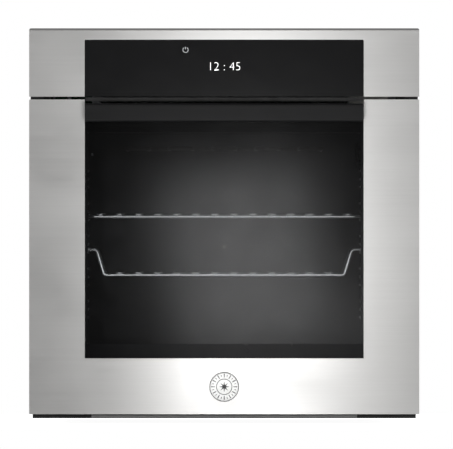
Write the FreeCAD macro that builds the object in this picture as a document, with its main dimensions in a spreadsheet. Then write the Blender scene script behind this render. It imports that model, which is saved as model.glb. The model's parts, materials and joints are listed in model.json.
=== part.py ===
import FreeCAD, Part
import math
import os
import re

import Sketcher

# Built-in electric wall oven, millimetres. +X is the right-hand side seen from the front, the front
# faces -Y and +Z is up. The origin is the middle of the box round the oven, on the plane it stands on.

doc = FreeCAD.newDocument("WallOven")

# alias, value, meaning
DIMENSIONS = [
    ("oven_width", 596, "width of the door and of the control panel"),
    ("oven_height", 596, "height from the lower trim to the top of the control panel"),
    ("chassis_width", 556, "width of the box that goes into the cabinet"),
    ("chassis_depth", 546, "depth behind the front of the cabinet"),
    ("chassis_height", 577, "height of the casing"),
    ("front_thickness", 22, "how far the fascia stands in front of the cabinet"),
    ("handle_reach", 32, "how far the handle stands in front of the door"),
    ("sheet_steel", 1.2, "thickness of the folded sheet"),
    ("fascia_height", 104.5, "height of the control panel"),
    ("panel_gap", 4.3, "gap between the control panel and the door"),
    ("panel_glass_height", 87.3, "height of the black control glass"),
    ("glass_width", 426.4, "width of the black glass column"),
    ("glass_thick", 4, "thickness of each glass pane"),
    ("door_bottom", 6.4, "height of the lower edge of the door"),
    ("bottom_strip", 85.2, "steel below the window"),
    ("pan_depth", 18, "depth of the steel door skin"),
    ("door_depth", 33, "depth of the whole door"),
    ("inner_width", 524, "width of the inner door, which enters the cabinet"),
    ("frame_recess", 19, "front plate behind the front of the cabinet"),
    ("flange_width", 592, "width over the fixing flanges"),
    ("fixing_hole", 2.6, "radius of the cabinet fixing holes"),
    ("fixing_reach", 568, "distance between the left and right fixing holes"),
    ("fixing_low", 120, "height of the lower fixing holes"),
    ("fixing_high", 470, "height of the upper fixing holes"),
    ("cavity_width", 446, "inside width of the cavity"),
    ("cavity_floor", 108, "height of the cavity floor"),
    ("cavity_tall", 330, "inside height of the cavity"),
    ("cavity_depth", 416, "inside depth of the cavity"),
    ("cavity_corner", 14, "radius of the cavity corners"),
    ("wool_thick", 25, "thickness of the insulation"),
    ("pivot_rise", 4, "hinge pin above the lower edge of the door"),
    ("pivot_back", 15.5, "hinge pin behind the front of the door"),
    ("hinge_reach", 243, "hinges from the centre line"),
    ("pin_radius", 2, "radius of the hinge pins"),
    ("pin_play", 0.05, "running clearance round the hinge pins"),
    ("handle_width", 424.4, "width of the handle bar"),
    ("handle_height", 27.3, "height of the handle bar"),
    ("handle_thick", 9, "thickness of the handle bar"),
    ("handle_low", 453.1, "height of the lower edge of the handle"),
    ("door_cap_top", 481, "top of the black door cap"),
    ("handle_post", 15, "handle posts from the ends of the bar"),
    ("glass_rest", 4.2, "width of the lips that the window rests on"),
    ("badge_radius", 22.8, "radius of the round badge"),
    ("badge_height", 48.3, "height of the middle of the badge"),
    ("separator_height", 470, "height of the plate over the insulation"),
    ("clearance", 0.3, "clearance between neighbouring sheets"),
    ("rear_slack", 3.4, "panels end in front of the rearmost point"),
    ("vent_pitch", 16, "distance between the air slots of a panel"),
    ("vent_width", 6, "width of an air slot"),
    ("side_vent_low", 490, "lower end of the side air slots"),
    ("side_vent_high", 555, "upper end of the side air slots"),
    ("screw_inset", 12, "rear screws from the edge of the casing"),
    ("screw_low", 40, "height of the lowest rear screws"),
    ("screw_step", 250, "distance between the rear screws"),
    ("heater_radius", 3.25, "radius of the heating tubes"),
    ("stub_hole", 3.6, "radius of the holes for the heater ends"),
    ("grill_reach", 150, "ends of the grill element from the centre line"),
    ("grill_drop", 25, "grill element below the cavity roof"),
    ("ring_reach", 14, "ends of the ring element from the centre line"),
    ("ring_rise", 92, "ends of the ring element above the fan axis"),
    ("probe_x", -205, "place of the temperature probe across the cavity"),
    ("probe_z", 405, "height of the temperature probe"),
    ("lamp_y", 80, "place of the lamp along the depth"),
    ("lamp_z", 404, "height of the lamp"),
    ("fan_height", 262, "height of the fan axis"),
    ("fan_radius", 70, "radius of the convection fan"),
    ("baffle_width", 376, "width of the fan cover"),
    ("baffle_low", 120, "bottom of the fan cover"),
    ("baffle_top", 398, "top of the fan cover"),
    ("intake_hole", 2.2, "radius of the intake holes in the fan cover"),
    ("outlet_reach", 160, "outlet slots of the fan cover from the centre line"),
    ("outlet_half", 14, "half the length of an outlet slot"),
    ("outlet_tall", 3, "height of an outlet slot"),
    ("outlet_low", 152, "height of the lowest outlet slot"),
    ("outlet_pitch", 30, "distance between the outlet slots"),
    ("baffle_deep", 38, "depth of the fan cover"),
    ("rack_reach", 211, "guide wires from the centre line"),
    ("rack_wire", 2, "radius of the guide wires"),
    ("rack_first", 152, "height of the lowest shelf level"),
    ("rack_pitch", 50.5, "distance between shelf levels"),
    ("guard_rise", 12.6, "distance between the wires of one level"),
    ("rod_radius", 2.5, "radius of the shelf rods"),
    ("hairpin_radius", 1.4, "radius of the shelf's thin wires"),
    ("hairpin_half", 4.5, "half the distance between the legs of a hairpin"),
    ("hairpin_pitch", 29.2, "distance between hairpins"),
    ("shelf_drop", 39.5, "drop of the lower shelf below its rim"),
    ("shelf_front", 28, "shelf rod behind the front plate"),
    ("shelf_long", 335, "length of a shelf"),
    ("duct_half", 190, "half the width of the air duct"),
    ("duct_tall", 30, "top of the air duct above the separator plate"),
    ("blower_half", 98, "half the width of the blower housing"),
    ("blower_deep", 41, "blower housing in front of and behind its axis"),
    ("blower_y", 191, "place of the cooling blower"),
    ("blower_z", 531, "height of the axis of the cooling blower"),
    ("rotor_radius", 27, "radius of the blower rotor"),
    ("inlet_radius", 5.5, "radius of the mains cable inlet"),
    ("inlet_x", 225, "mains cable inlet from the centre line"),
    ("inlet_z", 525, "height of the mains cable inlet"),
]

# Planes and places that follow from the driving dimensions.
DERIVED = {
    "face_y": "(handle_reach / 2 - front_thickness / 2 - chassis_depth / 2)",
    "cabinet_y": "(face_y + front_thickness)",
    "rear_y": "(cabinet_y + chassis_depth)",
    "frame_y": "(cabinet_y + frame_recess)",
    "frame_back": "(frame_y + sheet_steel)",
    "cavity_back_y": "(frame_back + cavity_depth)",
    "cavity_half": "(cavity_width / 2)",
    "cavity_roof": "(cavity_floor + cavity_tall)",
    "chassis_half": "(chassis_width / 2)",
    "oven_half": "(oven_width / 2)",
    "glass_half": "(glass_width / 2)",
    "inner_half": "(inner_width / 2)",
    "fascia_low": "(oven_height - fascia_height)",
    "door_top": "(fascia_low - panel_gap)",
    "door_back": "(face_y + door_depth)",
    "pan_back": "(face_y + pan_depth)",
    "window_low": "(door_bottom + bottom_strip)",
    "pivot_y": "(face_y + pivot_back)",
    "pivot_z": "(door_bottom + pivot_rise)",
    "handle_y": "(face_y - handle_reach)",
    "baffle_y": "(cavity_back_y - baffle_deep)",
    "rack_near": "(frame_y + 85)",
    "rack_far": "(lamp_y - 32)",
    "rod_level": "(rack_wire + 0.3 + rod_radius)",
    "upper_z": "(rack_first + 3 * rack_pitch + rod_level)",
    "lower_z": "(rack_first + 2 * rack_pitch + rod_level)",
    "shelf_y": "(frame_y + shelf_front)",
    "rod_x": "(rack_reach - rack_wire)",
    "shell_half": "(cavity_half + sheet_steel + clearance)",
    "shell_low": "(cavity_floor - sheet_steel - 8.3)",
    "shell_top": "(cavity_roof + sheet_steel + clearance)",
    "deck": "(separator_height + sheet_steel)",
    "lid_end": "(rear_y - rear_slack)",
    "panel_start": "(frame_back + clearance)",
    "handle_axis": "(handle_low + handle_height / 2)",
    "bar_end": "(handle_width / 2 - handle_post)",
    "rest_front": "(face_y + glass_thick + clearance)",
    "rest_back": "(rest_front + 1)",
}

sheet = doc.addObject("Spreadsheet::Sheet", "Dims")
for row, (alias, value, meaning) in enumerate(DIMENSIONS, start=1):
    sheet.set(f"A{row}", str(value))
    sheet.setAlias(f"A{row}", alias)
    sheet.set(f"B{row}", meaning)
doc.recompute()

ALIASES = {alias for alias, _, _ in DIMENSIONS}
nodes = []


def linked(formula):
    """Spell a formula out with the sheet's cells."""
    def spell(match):
        word = match.group(0)
        if word in DERIVED:
            return linked(DERIVED[word])
        return f"Dims.{word}" if word in ALIASES else word
    return re.sub(r"[A-Za-z_]+", spell, str(formula))


def mm(formula):
    """The value of a formula, in millimetres."""
    return float(sheet.evalExpression(linked(formula)))


def bind(item, prop, formula):
    item.setExpression(prop, linked(formula))


def place(item, x=0, y=0, z=0):
    for axis, formula in zip("xyz", (x, y, z)):
        bind(item, f"Placement.Base.{axis}", formula)


def box(x, y, z):
    """A block between two formulas on each axis."""
    item = doc.addObject("Part::Box", "Block")
    for side, (low, high) in zip(("Length", "Width", "Height"), (x, y, z)):
        bind(item, side, f"({high}) - ({low})")
    place(item, x[0], y[0], z[0])
    return item


def wide_box(half, y, z):
    """A block centred on the middle plane."""
    return box((f"-({half})", half), y, z)


TURNS = {
    "x": FreeCAD.Rotation(FreeCAD.Vector(0, 1, 0), 90),
    "y": FreeCAD.Rotation(FreeCAD.Vector(1, 0, 0), -90),
    "z": FreeCAD.Rotation(),
}


def rod(axis, radius, start, length):
    """A round bar along one axis from its start point."""
    item = doc.addObject("Part::Cylinder", "Rod")
    bind(item, "Radius", radius)
    bind(item, "Height", length)
    item.Placement = FreeCAD.Placement(FreeCAD.Vector(), TURNS[axis])
    place(item, *start)
    return item


def fuse(items):
    if len(items) == 1:
        return items[0]
    item = doc.addObject("Part::MultiFuse", "Joined")
    item.Shapes = items
    return item


def cut(base, tools):
    item = doc.addObject("Part::Cut", "Trimmed")
    item.Base = base
    item.Tool = fuse(tools)
    return item


def mirrored(source):
    item = doc.addObject("Part::Mirroring", "Mirrored")
    item.Source = source
    item.Normal = FreeCAD.Vector(1, 0, 0)
    return item


def rounded(base, radius, chosen):
    """Round the edges of a block that a test picks."""
    doc.recompute()
    item = doc.addObject("Part::Fillet", "Rounded")
    item.Base = base
    size = mm(radius)
    edges = base.Shape.Edges
    item.Edges = [(i, size, size) for i, edge in enumerate(edges, start=1) if chosen(edge)]
    return item


def along(axis):
    """A test for straight edges along an axis."""
    index = "xyz".index(axis)

    def chosen(edge):
        ends = [vertex.Point for vertex in edge.Vertexes]
        if len(ends) != 2:
            return False
        step = ends[1] - ends[0]
        return step.Length > 1e-6 and abs(abs(step[index]) - step.Length) < 1e-6
    return chosen


def keep(label, item):
    """Name a finished sub-part."""
    item.Label = label
    nodes.append(item)
    return item


def group(label, items):
    """Several like pieces in one sub-part, each a solid of its own."""
    item = doc.addObject("Part::Compound", "Group")
    item.Links = items
    return keep(label, item)


def solid(label, shape):
    """A sub-part whose shape is made by Part's own functions."""
    item = doc.addObject("Part::Feature", "Solid")
    item.Shape = shape
    return keep(label, item)


def corner_arc(before, corner, after, bend):
    """The tangent arc that rounds one corner of a path: its first point, middle and last point."""
    inward = (before - corner).normalize()
    outward = (after - corner).normalize()
    half = inward.getAngle(outward) / 2
    reach = bend / math.tan(half)
    centre = corner + (inward + outward).normalize() * (bend / math.sin(half))
    middle = centre + (corner - centre).normalize() * bend
    return corner + inward * reach, middle, corner + outward * reach


def swept(edges, radius):
    """A round rod swept along a path of tangent edges."""
    path = Part.Wire(edges)
    direction = edges[0].tangentAt(edges[0].FirstParameter)
    circle_at = Part.makeCircle(radius, edges[0].valueAt(edges[0].FirstParameter), direction)
    return path.makePipeShell([Part.Wire(circle_at)], True, False)


def wire_rod(points, radius, bend):
    """A round wire bent along a path of corner points."""
    points = [FreeCAD.Vector(*point) for point in points]
    edges = []
    start = points[0]
    for before, corner, after in zip(points, points[1:], points[2:]):
        first, middle, last = corner_arc(before, corner, after, bend)
        edges.append(Part.LineSegment(start, first).toShape())
        edges.append(Part.Arc(first, middle, last).toShape())
        start = last
    edges.append(Part.LineSegment(start, points[-1]).toShape())
    return swept(edges, radius)


def closed_rod(points, radius, bend):
    """A round wire bent into a closed loop with rounded corners."""
    points = [FreeCAD.Vector(*point) for point in points]
    arcs = [corner_arc(points[i - 1], points[i], points[(i + 1) % len(points)], bend)
            for i in range(len(points))]
    edges = []
    for i, (first, middle, last) in enumerate(arcs):
        edges.append(Part.LineSegment(arcs[i - 1][2], first).toShape())
        edges.append(Part.Arc(first, middle, last).toShape())
    return swept(edges, radius)


# ---------------------------------------------------------------- sketches

def plane(body, role):
    return next(item for item in body.Origin.OriginFeatures if item.Role == role)


def sketch_on(body, role, name, lift=0):
    """A sketch on one of the body's own planes, lifted along its normal."""
    sketch = body.newObject("Sketcher::SketchObject", name)
    sketch.AttachmentSupport = (plane(body, role), [""])
    sketch.MapMode = "FlatFace"
    bind(sketch, "AttachmentOffset.Base.z", lift)
    return sketch


def rectangle(sketch, width, height, x=0, y=0):
    """A rectangle about a centre point, with its sides held by named constraints."""
    w, h, cx, cy = mm(width) / 2, mm(height) / 2, mm(x), mm(y)
    corners = [FreeCAD.Vector(cx + i * w, cy + j * h, 0) for i, j in ((-1, -1), (1, -1), (1, 1), (-1, 1))]
    for start, end in zip(corners, corners[1:] + corners[:1]):
        sketch.addGeometry(Part.LineSegment(start, end))
    for side in range(4):
        sketch.addConstraint(Sketcher.Constraint("Coincident", side, 2, (side + 1) % 4, 1))
        sketch.addConstraint(Sketcher.Constraint("Vertical" if side % 2 else "Horizontal", side))
    for kind, line, size, formula in (("DistanceX", 0, 2 * w, width), ("DistanceY", 1, 2 * h, height)):
        index = sketch.addConstraint(Sketcher.Constraint(kind, line, 1, line, 2, size))
        bind(sketch, f"Constraints[{index}]", formula)
    middle = sketch.addGeometry(Part.Point(FreeCAD.Vector(cx, cy, 0)))
    sketch.toggleConstruction(middle)
    sketch.addConstraint(Sketcher.Constraint("Symmetric", 0, 1, 2, 1, middle, 1))
    hold(sketch, middle, 1, x, y)


def circle(sketch, radius, x=0, y=0):
    centre = FreeCAD.Vector(mm(x), mm(y), 0)
    ring = sketch.addGeometry(Part.Circle(centre, FreeCAD.Vector(0, 0, 1), mm(radius)))
    index = sketch.addConstraint(Sketcher.Constraint("Radius", ring, mm(radius)))
    bind(sketch, f"Constraints[{index}]", radius)
    hold(sketch, ring, 3, x, y)


def hold(sketch, item, point, x, y):
    """Fix a point of the sketch at its place from the origin."""
    for kind, formula in (("DistanceX", x), ("DistanceY", y)):
        index = sketch.addConstraint(Sketcher.Constraint(kind, -1, 1, item, point, mm(formula)))
        bind(sketch, f"Constraints[{index}]", formula)


def pad(body, sketch, length):
    feature = body.newObject("PartDesign::Pad", "Pad")
    feature.Profile = sketch
    bind(feature, "Length", length)
    doc.recompute()
    return feature


def pocket(body, sketch, base):
    """Cut a sketch through the whole body, on whichever side of it the body lies."""
    feature = body.newObject("PartDesign::Pocket", "Pocket")
    feature.Profile = sketch
    feature.Type = "ThroughAll"
    doc.recompute()
    if feature.Shape.isNull() or abs(feature.Shape.Volume - base.Shape.Volume) < 1e-3:
        feature.Reversed = True
        doc.recompute()
    return feature


def polar(body, feature, count):
    """Repeat a feature round the body's Z axis."""
    pattern = body.newObject("PartDesign::PolarPattern", "Blades")
    pattern.Originals = [feature]
    pattern.Axis = (plane(body, "Z_Axis"), [""])
    pattern.Angle = 360
    pattern.Occurrences = count
    body.Tip = pattern
    doc.recompute()
    return pattern


# ---------------------------------------------------------------- casing

def both_sides(y, z, inner, outer):
    """Two blocks at the same reach to the left and right."""
    return [box((inner, outer), y, z), box((f"-({outer})", f"-({inner})"), y, z)]


def front_frame():
    plate = ("frame_y", "frame_back")
    skin = wide_box("chassis_half", plate, ("sheet_steel + 0.2", "chassis_height"))
    doorway = rounded(
        wide_box("cavity_half", ("frame_y - 1", "frame_back + 1"), ("cavity_floor", "cavity_roof")),
        "cavity_corner", along("y"))
    upper_bay = wide_box("inner_half", ("frame_y - 1", "frame_back + 1"), ("separator_height + 3", "560"))
    slots = both_sides(("frame_y - 1", "frame_back + 1"), ("door_bottom - 0.4", "door_bottom + 32"),
                       "hinge_reach - 3.5", "hinge_reach + 3.5")
    returns = both_sides(("cabinet_y - sheet_steel", "frame_back"), ("door_bottom + 0.3", "580"),
                         "chassis_half - sheet_steel", "chassis_half")
    flanges = both_sides(("cabinet_y - sheet_steel", "cabinet_y"), ("door_bottom + 0.3", "580"),
                         "chassis_half - sheet_steel", "flange_width / 2")
    holes = [rod("y", "fixing_hole", (f"{side} * fixing_reach / 2", "cabinet_y - 5", height), "10")
             for side in (-1, 1) for height in ("fixing_low", "fixing_high")]
    frame = fuse([cut(skin, [doorway, upper_bay] + slots)] + returns + flanges)
    keep("front_frame", cut(frame, holes))


def side_panels():
    """Flat sides with air slots near the top rear, folded in along the top edge."""
    panel = box(("chassis_half - sheet_steel", "chassis_half"), ("panel_start", "lid_end"),
                ("sheet_steel + 0.2", "chassis_height"))
    slots = [box(("chassis_half - 3", "chassis_half + 1"),
                 (f"rear_y - 60 - {step} * vent_pitch", f"rear_y - 60 - {step} * vent_pitch + vent_width"),
                 ("side_vent_low", "side_vent_high")) for step in range(8)]
    lip = box(("chassis_half - 12", "chassis_half - 1"), ("panel_start", "lid_end"),
              ("chassis_height - sheet_steel", "chassis_height"))
    right = keep("side_panel_right", fuse([cut(panel, slots), lip]))
    keep("side_panel_left", mirrored(right))


def top_cover():
    lid = wide_box("chassis_half - 12.4", ("panel_start", "lid_end"),
                   ("chassis_height - sheet_steel", "chassis_height"))
    slots = [box((f"{i} * vent_pitch - vent_width / 2", f"{i} * vent_pitch + vent_width / 2"),
                 ("rear_y - 170", "rear_y - 110"), ("chassis_height - 3", "chassis_height + 1"))
             for i in range(-8, 9)]
    keep("top_cover", cut(lid, slots))


def base_panel():
    keep("base_panel", wide_box("chassis_half - sheet_steel - 0.2", ("panel_start", "lid_end"),
                                ("0", "sheet_steel")))


def screw_heights():
    return [f"screw_low + {i} * screw_step" for i in range(3)]


def rear_cover():
    """A plate with a row of air slots, screw holes and a hole for the cable gland."""
    middle = "(chassis_height / 2 + 0.8)"
    body = doc.addObject("PartDesign::Body", "RearCover")
    outline = sketch_on(body, "XZ_Plane", "Outline")
    rectangle(outline, "chassis_width", "chassis_height - 1.6")
    plate = pad(body, outline, "sheet_steel")
    inlet = sketch_on(body, "XZ_Plane", "Inlet")
    circle(inlet, "inlet_radius + 4.2", "inlet_x", f"inlet_z - {middle}")
    opened = pocket(body, inlet, plate)
    for side in (-1, 1):
        for height in screw_heights():
            hole = sketch_on(body, "XZ_Plane", "ScrewHole")
            circle(hole, "2.1", f"{side} * (chassis_half - screw_inset)", f"{height} - {middle}")
            opened = pocket(body, hole, opened)
    slot = sketch_on(body, "XZ_Plane", "Slot")
    rectangle(slot, "vent_width", "60", "-152", "220")
    first = pocket(body, slot, opened)
    pattern = body.newObject("PartDesign::LinearPattern", "Slots")
    pattern.Originals = [first]
    pattern.Direction = (plane(body, "X_Axis"), [""])
    pattern.Occurrences = 20
    bind(pattern, "Length", f"{pattern.Occurrences - 1} * vent_pitch")
    body.Tip = pattern
    place(body, 0, "rear_y - 2", middle)
    keep("rear_cover", body)


# ---------------------------------------------------------------- cavity

def cavity_shell():
    """The enamelled wrapper: floor, sides and roof in one bent sheet."""
    tube = ("frame_back", "cavity_back_y")
    outer = rounded(wide_box("cavity_half + sheet_steel", tube,
                             ("cavity_floor - sheet_steel", "cavity_roof + sheet_steel")),
                    "cavity_corner + sheet_steel", along("y"))
    inner = rounded(wide_box("cavity_half", ("frame_y", "cavity_back_y + 1"),
                             ("cavity_floor", "cavity_roof")), "cavity_corner", along("y"))
    lamp_hole = rod("x", "17", ("cavity_half - 2", "lamp_y", "lamp_z"), "6")
    keep("cavity_shell", cut(outer, [inner, lamp_hole]))


def heater_ends():
    """Where the grill element and the ring element pass through the back."""
    return ([(f"{side} * grill_reach", "cavity_roof - grill_drop") for side in (-1, 1)]
            + [(f"{side} * ring_reach", "fan_height + ring_rise") for side in (-1, 1)])


def cavity_back():
    plate = wide_box("cavity_half + sheet_steel", ("cavity_back_y", "cavity_back_y + sheet_steel"),
                     ("cavity_floor - sheet_steel", "cavity_roof + sheet_steel"))
    shaft = rod("y", "6", (0, "cavity_back_y - 1", "fan_height"), "4")
    probe = rod("y", "2.3", ("probe_x", "cavity_back_y - 1", "probe_z"), "4")
    stubs = [rod("y", "stub_hole", (x, "cavity_back_y - 1", z), "4") for x, z in heater_ends()]
    keep("cavity_back", cut(plate, [shaft, probe] + stubs))


def insulation_blanket():
    """Mineral wool wrapped round the cavity, with holes for the lamp and for what crosses the back."""
    hollow_end = "cavity_back_y + sheet_steel + clearance"
    wool = wide_box("shell_half + wool_thick", ("frame_back + 1", f"{hollow_end} + wool_thick"),
                    ("shell_low - wool_thick", "shell_top + wool_thick"))
    hollow = wide_box("shell_half", ("frame_back", hollow_end), ("shell_low", "shell_top"))
    lamp = rod("x", "24", ("cavity_half", "lamp_y", "lamp_z"), "60")
    shaft = rod("y", "10", (0, "cavity_back_y", "fan_height"), "60")
    probe = rod("y", "5", ("probe_x", "cavity_back_y", "probe_z"), "60")
    stubs = [rod("y", "6", (x, "cavity_back_y", z), "60") for x, z in heater_ends()]
    keep("insulation_blanket", cut(wool, [hollow, lamp, shaft, probe] + stubs))


def grill_element():
    """A heating tube bent into loops under the roof, with both ends through the back."""
    back, front, height = mm("cavity_back_y + 12"), mm("frame_y + 62"), mm("cavity_roof - grill_drop")
    inner_back, reach, loops = mm("baffle_y - 30"), mm("grill_reach"), 5
    pitch = 2 * reach / (2 * loops - 1)
    points = [(-reach, back, height)]
    for i in range(2 * loops):
        x = -reach + i * pitch
        near, far = (inner_back, front) if i % 2 == 0 else (front, inner_back)
        if i > 0:
            points.append((x, near, height))
        if i < 2 * loops - 1:
            points.append((x, far, height))
    points.append((reach, back, height))
    solid("grill_element", wire_rod(points, mm("heater_radius"), 14))


def base_element():
    """A flat heating loop between the cavity floor and the insulation."""
    height = mm("cavity_floor - sheet_steel - 4.2")
    back, front = mm("cavity_back_y - 6"), mm("frame_back + 60")
    turn, ends, reach = back - 60, 30, 180
    points = [(-ends, back, height), (-ends, turn, height), (-reach, turn, height), (-reach, front, height),
              (reach, front, height), (reach, turn, height), (ends, turn, height), (ends, back, height)]
    solid("base_element", wire_rod(points, mm("heater_radius"), 25))


def ring_element():
    """A ring-shaped heater round the fan, with two ends through the back wall."""
    ring = doc.addObject("Part::Torus", "Ring")
    bind(ring, "Radius1", "fan_radius + 20")
    bind(ring, "Radius2", "heater_radius")
    ring.Placement.Rotation = TURNS["y"]
    y, top = "cavity_back_y - 20", "fan_height + ring_rise"
    place(ring, 0, y, "fan_height")
    sides = ("-ring_reach", "ring_reach")
    ends = [rod("y", "heater_radius", (x, y, top), "34") for x in sides]
    legs = [rod("z", "heater_radius", (x, y, f"{top} - 6"), "6") for x in sides]
    keep("ring_element", fuse([ring] + ends + legs))


def fan_baffle():
    """The cover in front of the fan: small intake holes in the middle, outlet slots at the sides."""
    outer = wide_box("baffle_width / 2", ("baffle_y", "cavity_back_y - 0.2"), ("baffle_low", "baffle_top"))
    inner = wide_box("baffle_width / 2 - sheet_steel", ("baffle_y + sheet_steel", "cavity_back_y + 1"),
                     ("baffle_low + sheet_steel", "baffle_top - sheet_steel"))
    holes = [rod("y", "intake_hole", (0, "baffle_y - 1", "fan_height"), "5")]
    for ring, count in ((14, 6), (26, 12), (38, 18), (50, 24)):
        for i in range(count):
            angle = 360 * i / count
            holes.append(rod("y", "intake_hole", (f"{ring} * cos({angle} deg)", "baffle_y - 1",
                                                  f"fan_height + {ring} * sin({angle} deg)"), "5"))
    for side in (-1, 1):
        for i in range(8):
            low = f"outlet_low + {i} * outlet_pitch"
            holes.append(box((f"{side} * outlet_reach - outlet_half", f"{side} * outlet_reach + outlet_half"),
                             ("baffle_y - 1", "baffle_y + 4"), (low, f"{low} + outlet_tall")))
    keep("fan_baffle", cut(outer, [inner] + holes))


def side_racks():
    """Chromed wire guides: each level has a wire to rest on and a hairpin guard above it."""
    front, back = mm("frame_y + 25"), mm("baffle_y - 12")
    reach, wire = mm("rack_reach"), mm("rack_wire")
    outside = reach + 2 * wire - 0.3
    low, high = mm("rack_first - 22"), mm("rack_first + 4 * rack_pitch + 2 * guard_rise + 7")
    near, far = mm("rack_near"), mm("rack_far")
    frame = closed_rod([(outside, near, low), (outside, near, high), (outside, far, high),
                        (outside, far, low)], wire, 12)
    pieces = [frame]
    guard, bend = mm("guard_rise"), mm("guard_rise / 2")
    for level in range(5):
        z = mm("rack_first") + level * mm("rack_pitch")
        pieces.append(Part.makeCylinder(wire, back - front, FreeCAD.Vector(reach, front, z),
                                        FreeCAD.Vector(0, 1, 0)))
        pieces += [Part.makeCylinder(wire, back - front - bend, FreeCAD.Vector(reach, front + bend, z + lift),
                                     FreeCAD.Vector(0, 1, 0)) for lift in (guard, 2 * guard)]
        turn = Part.makeTorus(bend, wire, FreeCAD.Vector(), FreeCAD.Vector(0, 0, 1), -180, 180, 180)
        turn.Placement = FreeCAD.Placement(FreeCAD.Vector(reach, front + bend, z + 1.5 * guard),
                                           FreeCAD.Rotation(FreeCAD.Vector(0, 1, 0), 90)
                                           .multiply(FreeCAD.Rotation(FreeCAD.Vector(0, 0, 1), 180)))
        pieces.append(turn)
    right = pieces[0].fuse(pieces[1:])
    solid("side_rack_right", right)
    solid("side_rack_left", right.mirror(FreeCAD.Vector(), FreeCAD.Vector(1, 0, 0)))


def rack_studs():
    """The four studs that hold the guides to the cavity walls."""
    studs = []
    for side in (-1, 1):
        for y in ("rack_near", "rack_far"):
            inner = "cavity_half - 5.6" if side > 0 else "-cavity_half"
            studs.append(rod("x", "3.5", (inner, f"{y} - 7", "190"), "5.6"))
    group("rack_studs", studs)


def door_gasket():
    """A soft loop that seals the door against the front plate."""
    half, low, high = mm("cavity_half + 12"), mm("cavity_floor - 12"), mm("cavity_roof + 12")
    y = mm("frame_y - 4")
    points = [(half, y, low), (half, y, high), (-half, y, high), (-half, y, low)]
    solid("door_gasket", closed_rod(points, 3.6, 22))


# ---------------------------------------------------------------- electrics and air

def oven_lamp():
    """A lamp in the right-hand cavity wall: a ceramic holder, a bulb and a screwed glass cover."""
    place_x = ("cavity_half", "lamp_y", "lamp_z")
    body = rod("x", "20", (f"{place_x[0]} + sheet_steel + 0.3", *place_x[1:]), "34")
    collar = rod("x", "16.6", (f"{place_x[0]} - 5", *place_x[1:]), "8")
    socket = rod("x", "10", (f"{place_x[0]} - 6", *place_x[1:]), "26")
    keep("lamp_holder", cut(fuse([body, collar]), [socket]))
    stem = rod("x", "6.5", (f"{place_x[0]} - 2", *place_x[1:]), "20")
    tip = rounded(rod("x", "8", (f"{place_x[0]} - 16", *place_x[1:]), "15"), "3.5", lambda edge: True)
    keep("lamp_bulb", fuse([stem, tip]))
    dome = rounded(rod("x", "20", (f"{place_x[0]} - 20", *place_x[1:]), "19.7"), "4",
                   lambda edge: edge.CenterOfMass.x < mm("cavity_half - 15"))
    hollow = rod("x", "16.9", (f"{place_x[0]} - 17.5", *place_x[1:]), "20")
    keep("lamp_glass", cut(dome, [hollow]))


def temperature_probe():
    tube = rod("y", "2", ("probe_x", "cavity_back_y - 70", "probe_z"), "110")
    head = rod("y", "4.5", ("probe_x", "cavity_back_y + 30", "probe_z"), "16")
    keep("temperature_probe", fuse([tube, head]))


def separator_plate():
    """The plate that carries the electrics above the insulation."""
    keep("separator_plate", wide_box("chassis_half - sheet_steel - 0.4", ("panel_start", "lid_end - 0.2"),
                                     ("separator_height", "deck")))


def air_duct():
    """The flat channel that leads cooling air to the slot above the door."""
    y = ("panel_start", "blower_y - blower_deep - 1")
    outer = wide_box("duct_half", y, ("deck", "separator_height + duct_tall"))
    inner = wide_box("duct_half - sheet_steel", (f"{y[0]} - 1", f"{y[1]} + 1"),
                     ("separator_height", "separator_height + duct_tall - sheet_steel"))
    keep("air_duct", cut(outer, [inner]))


def air_outlet_grille():
    """The black air guide between the control panel and the door."""
    half = "glass_half - 0.7"
    shelf = wide_box(half, ("face_y + 4.6", "frame_y - 0.2"), ("fascia_low - 2.6", "fascia_low - 1.2"))
    lip = wide_box(half, ("face_y + 4.6", "face_y + 6.6"), ("door_cap_top + 3.8", "fascia_low - 1.2"))
    ribs = [box((f"{x} * 35 - 1", f"{x} * 35 + 1"), ("face_y + 5", "frame_y - 0.2"),
                ("door_cap_top + 3.8", "fascia_low - 1.2")) for x in range(-6, 7)]
    keep("air_outlet_grille", fuse([shelf, lip] + ribs))


def blower():
    """A cross-flow blower that pushes air into the duct, with its motor on the right."""
    y = ("blower_y - blower_deep", "blower_y + blower_deep")
    top = "chassis_height - 6"
    shell = wide_box("blower_half", y, ("deck", top))
    inner = wide_box("blower_half - sheet_steel", (f"{y[0]} + sheet_steel", f"{y[1]} - sheet_steel"),
                     ("separator_height", f"{top} - sheet_steel"))
    outlet = wide_box("blower_half - 2", (f"{y[0]} - 1", f"{y[0]} + 3"),
                      ("separator_height", "separator_height + duct_tall - 2"))
    intakes = [box((f"{x} * 20 - 6", f"{x} * 20 + 6"), ("blower_y - 20", "blower_y + 34"),
                   (f"{top} - 3", f"{top} + 1")) for x in range(-4, 5)]
    bearing = rod("x", "4.3", ("-blower_half - 1", "blower_y", "blower_z"), "2 * blower_half + 2")
    keep("blower_housing", cut(shell, [inner, outlet, bearing] + intakes))
    can = rounded(rod("x", "29", ("100", "blower_y", "blower_z"), "44"), "4",
                  lambda edge: edge.CenterOfMass.x > 120)
    foot = box(("106", "138"), ("blower_y - 12", "blower_y + 12"),
               ("deck", "blower_z - 20"))
    bore = rod("x", "4", ("99", "blower_y", "blower_z"), "12")
    keep("blower_motor", cut(fuse([can, foot]), [bore]))
    blower_rotor()


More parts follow.
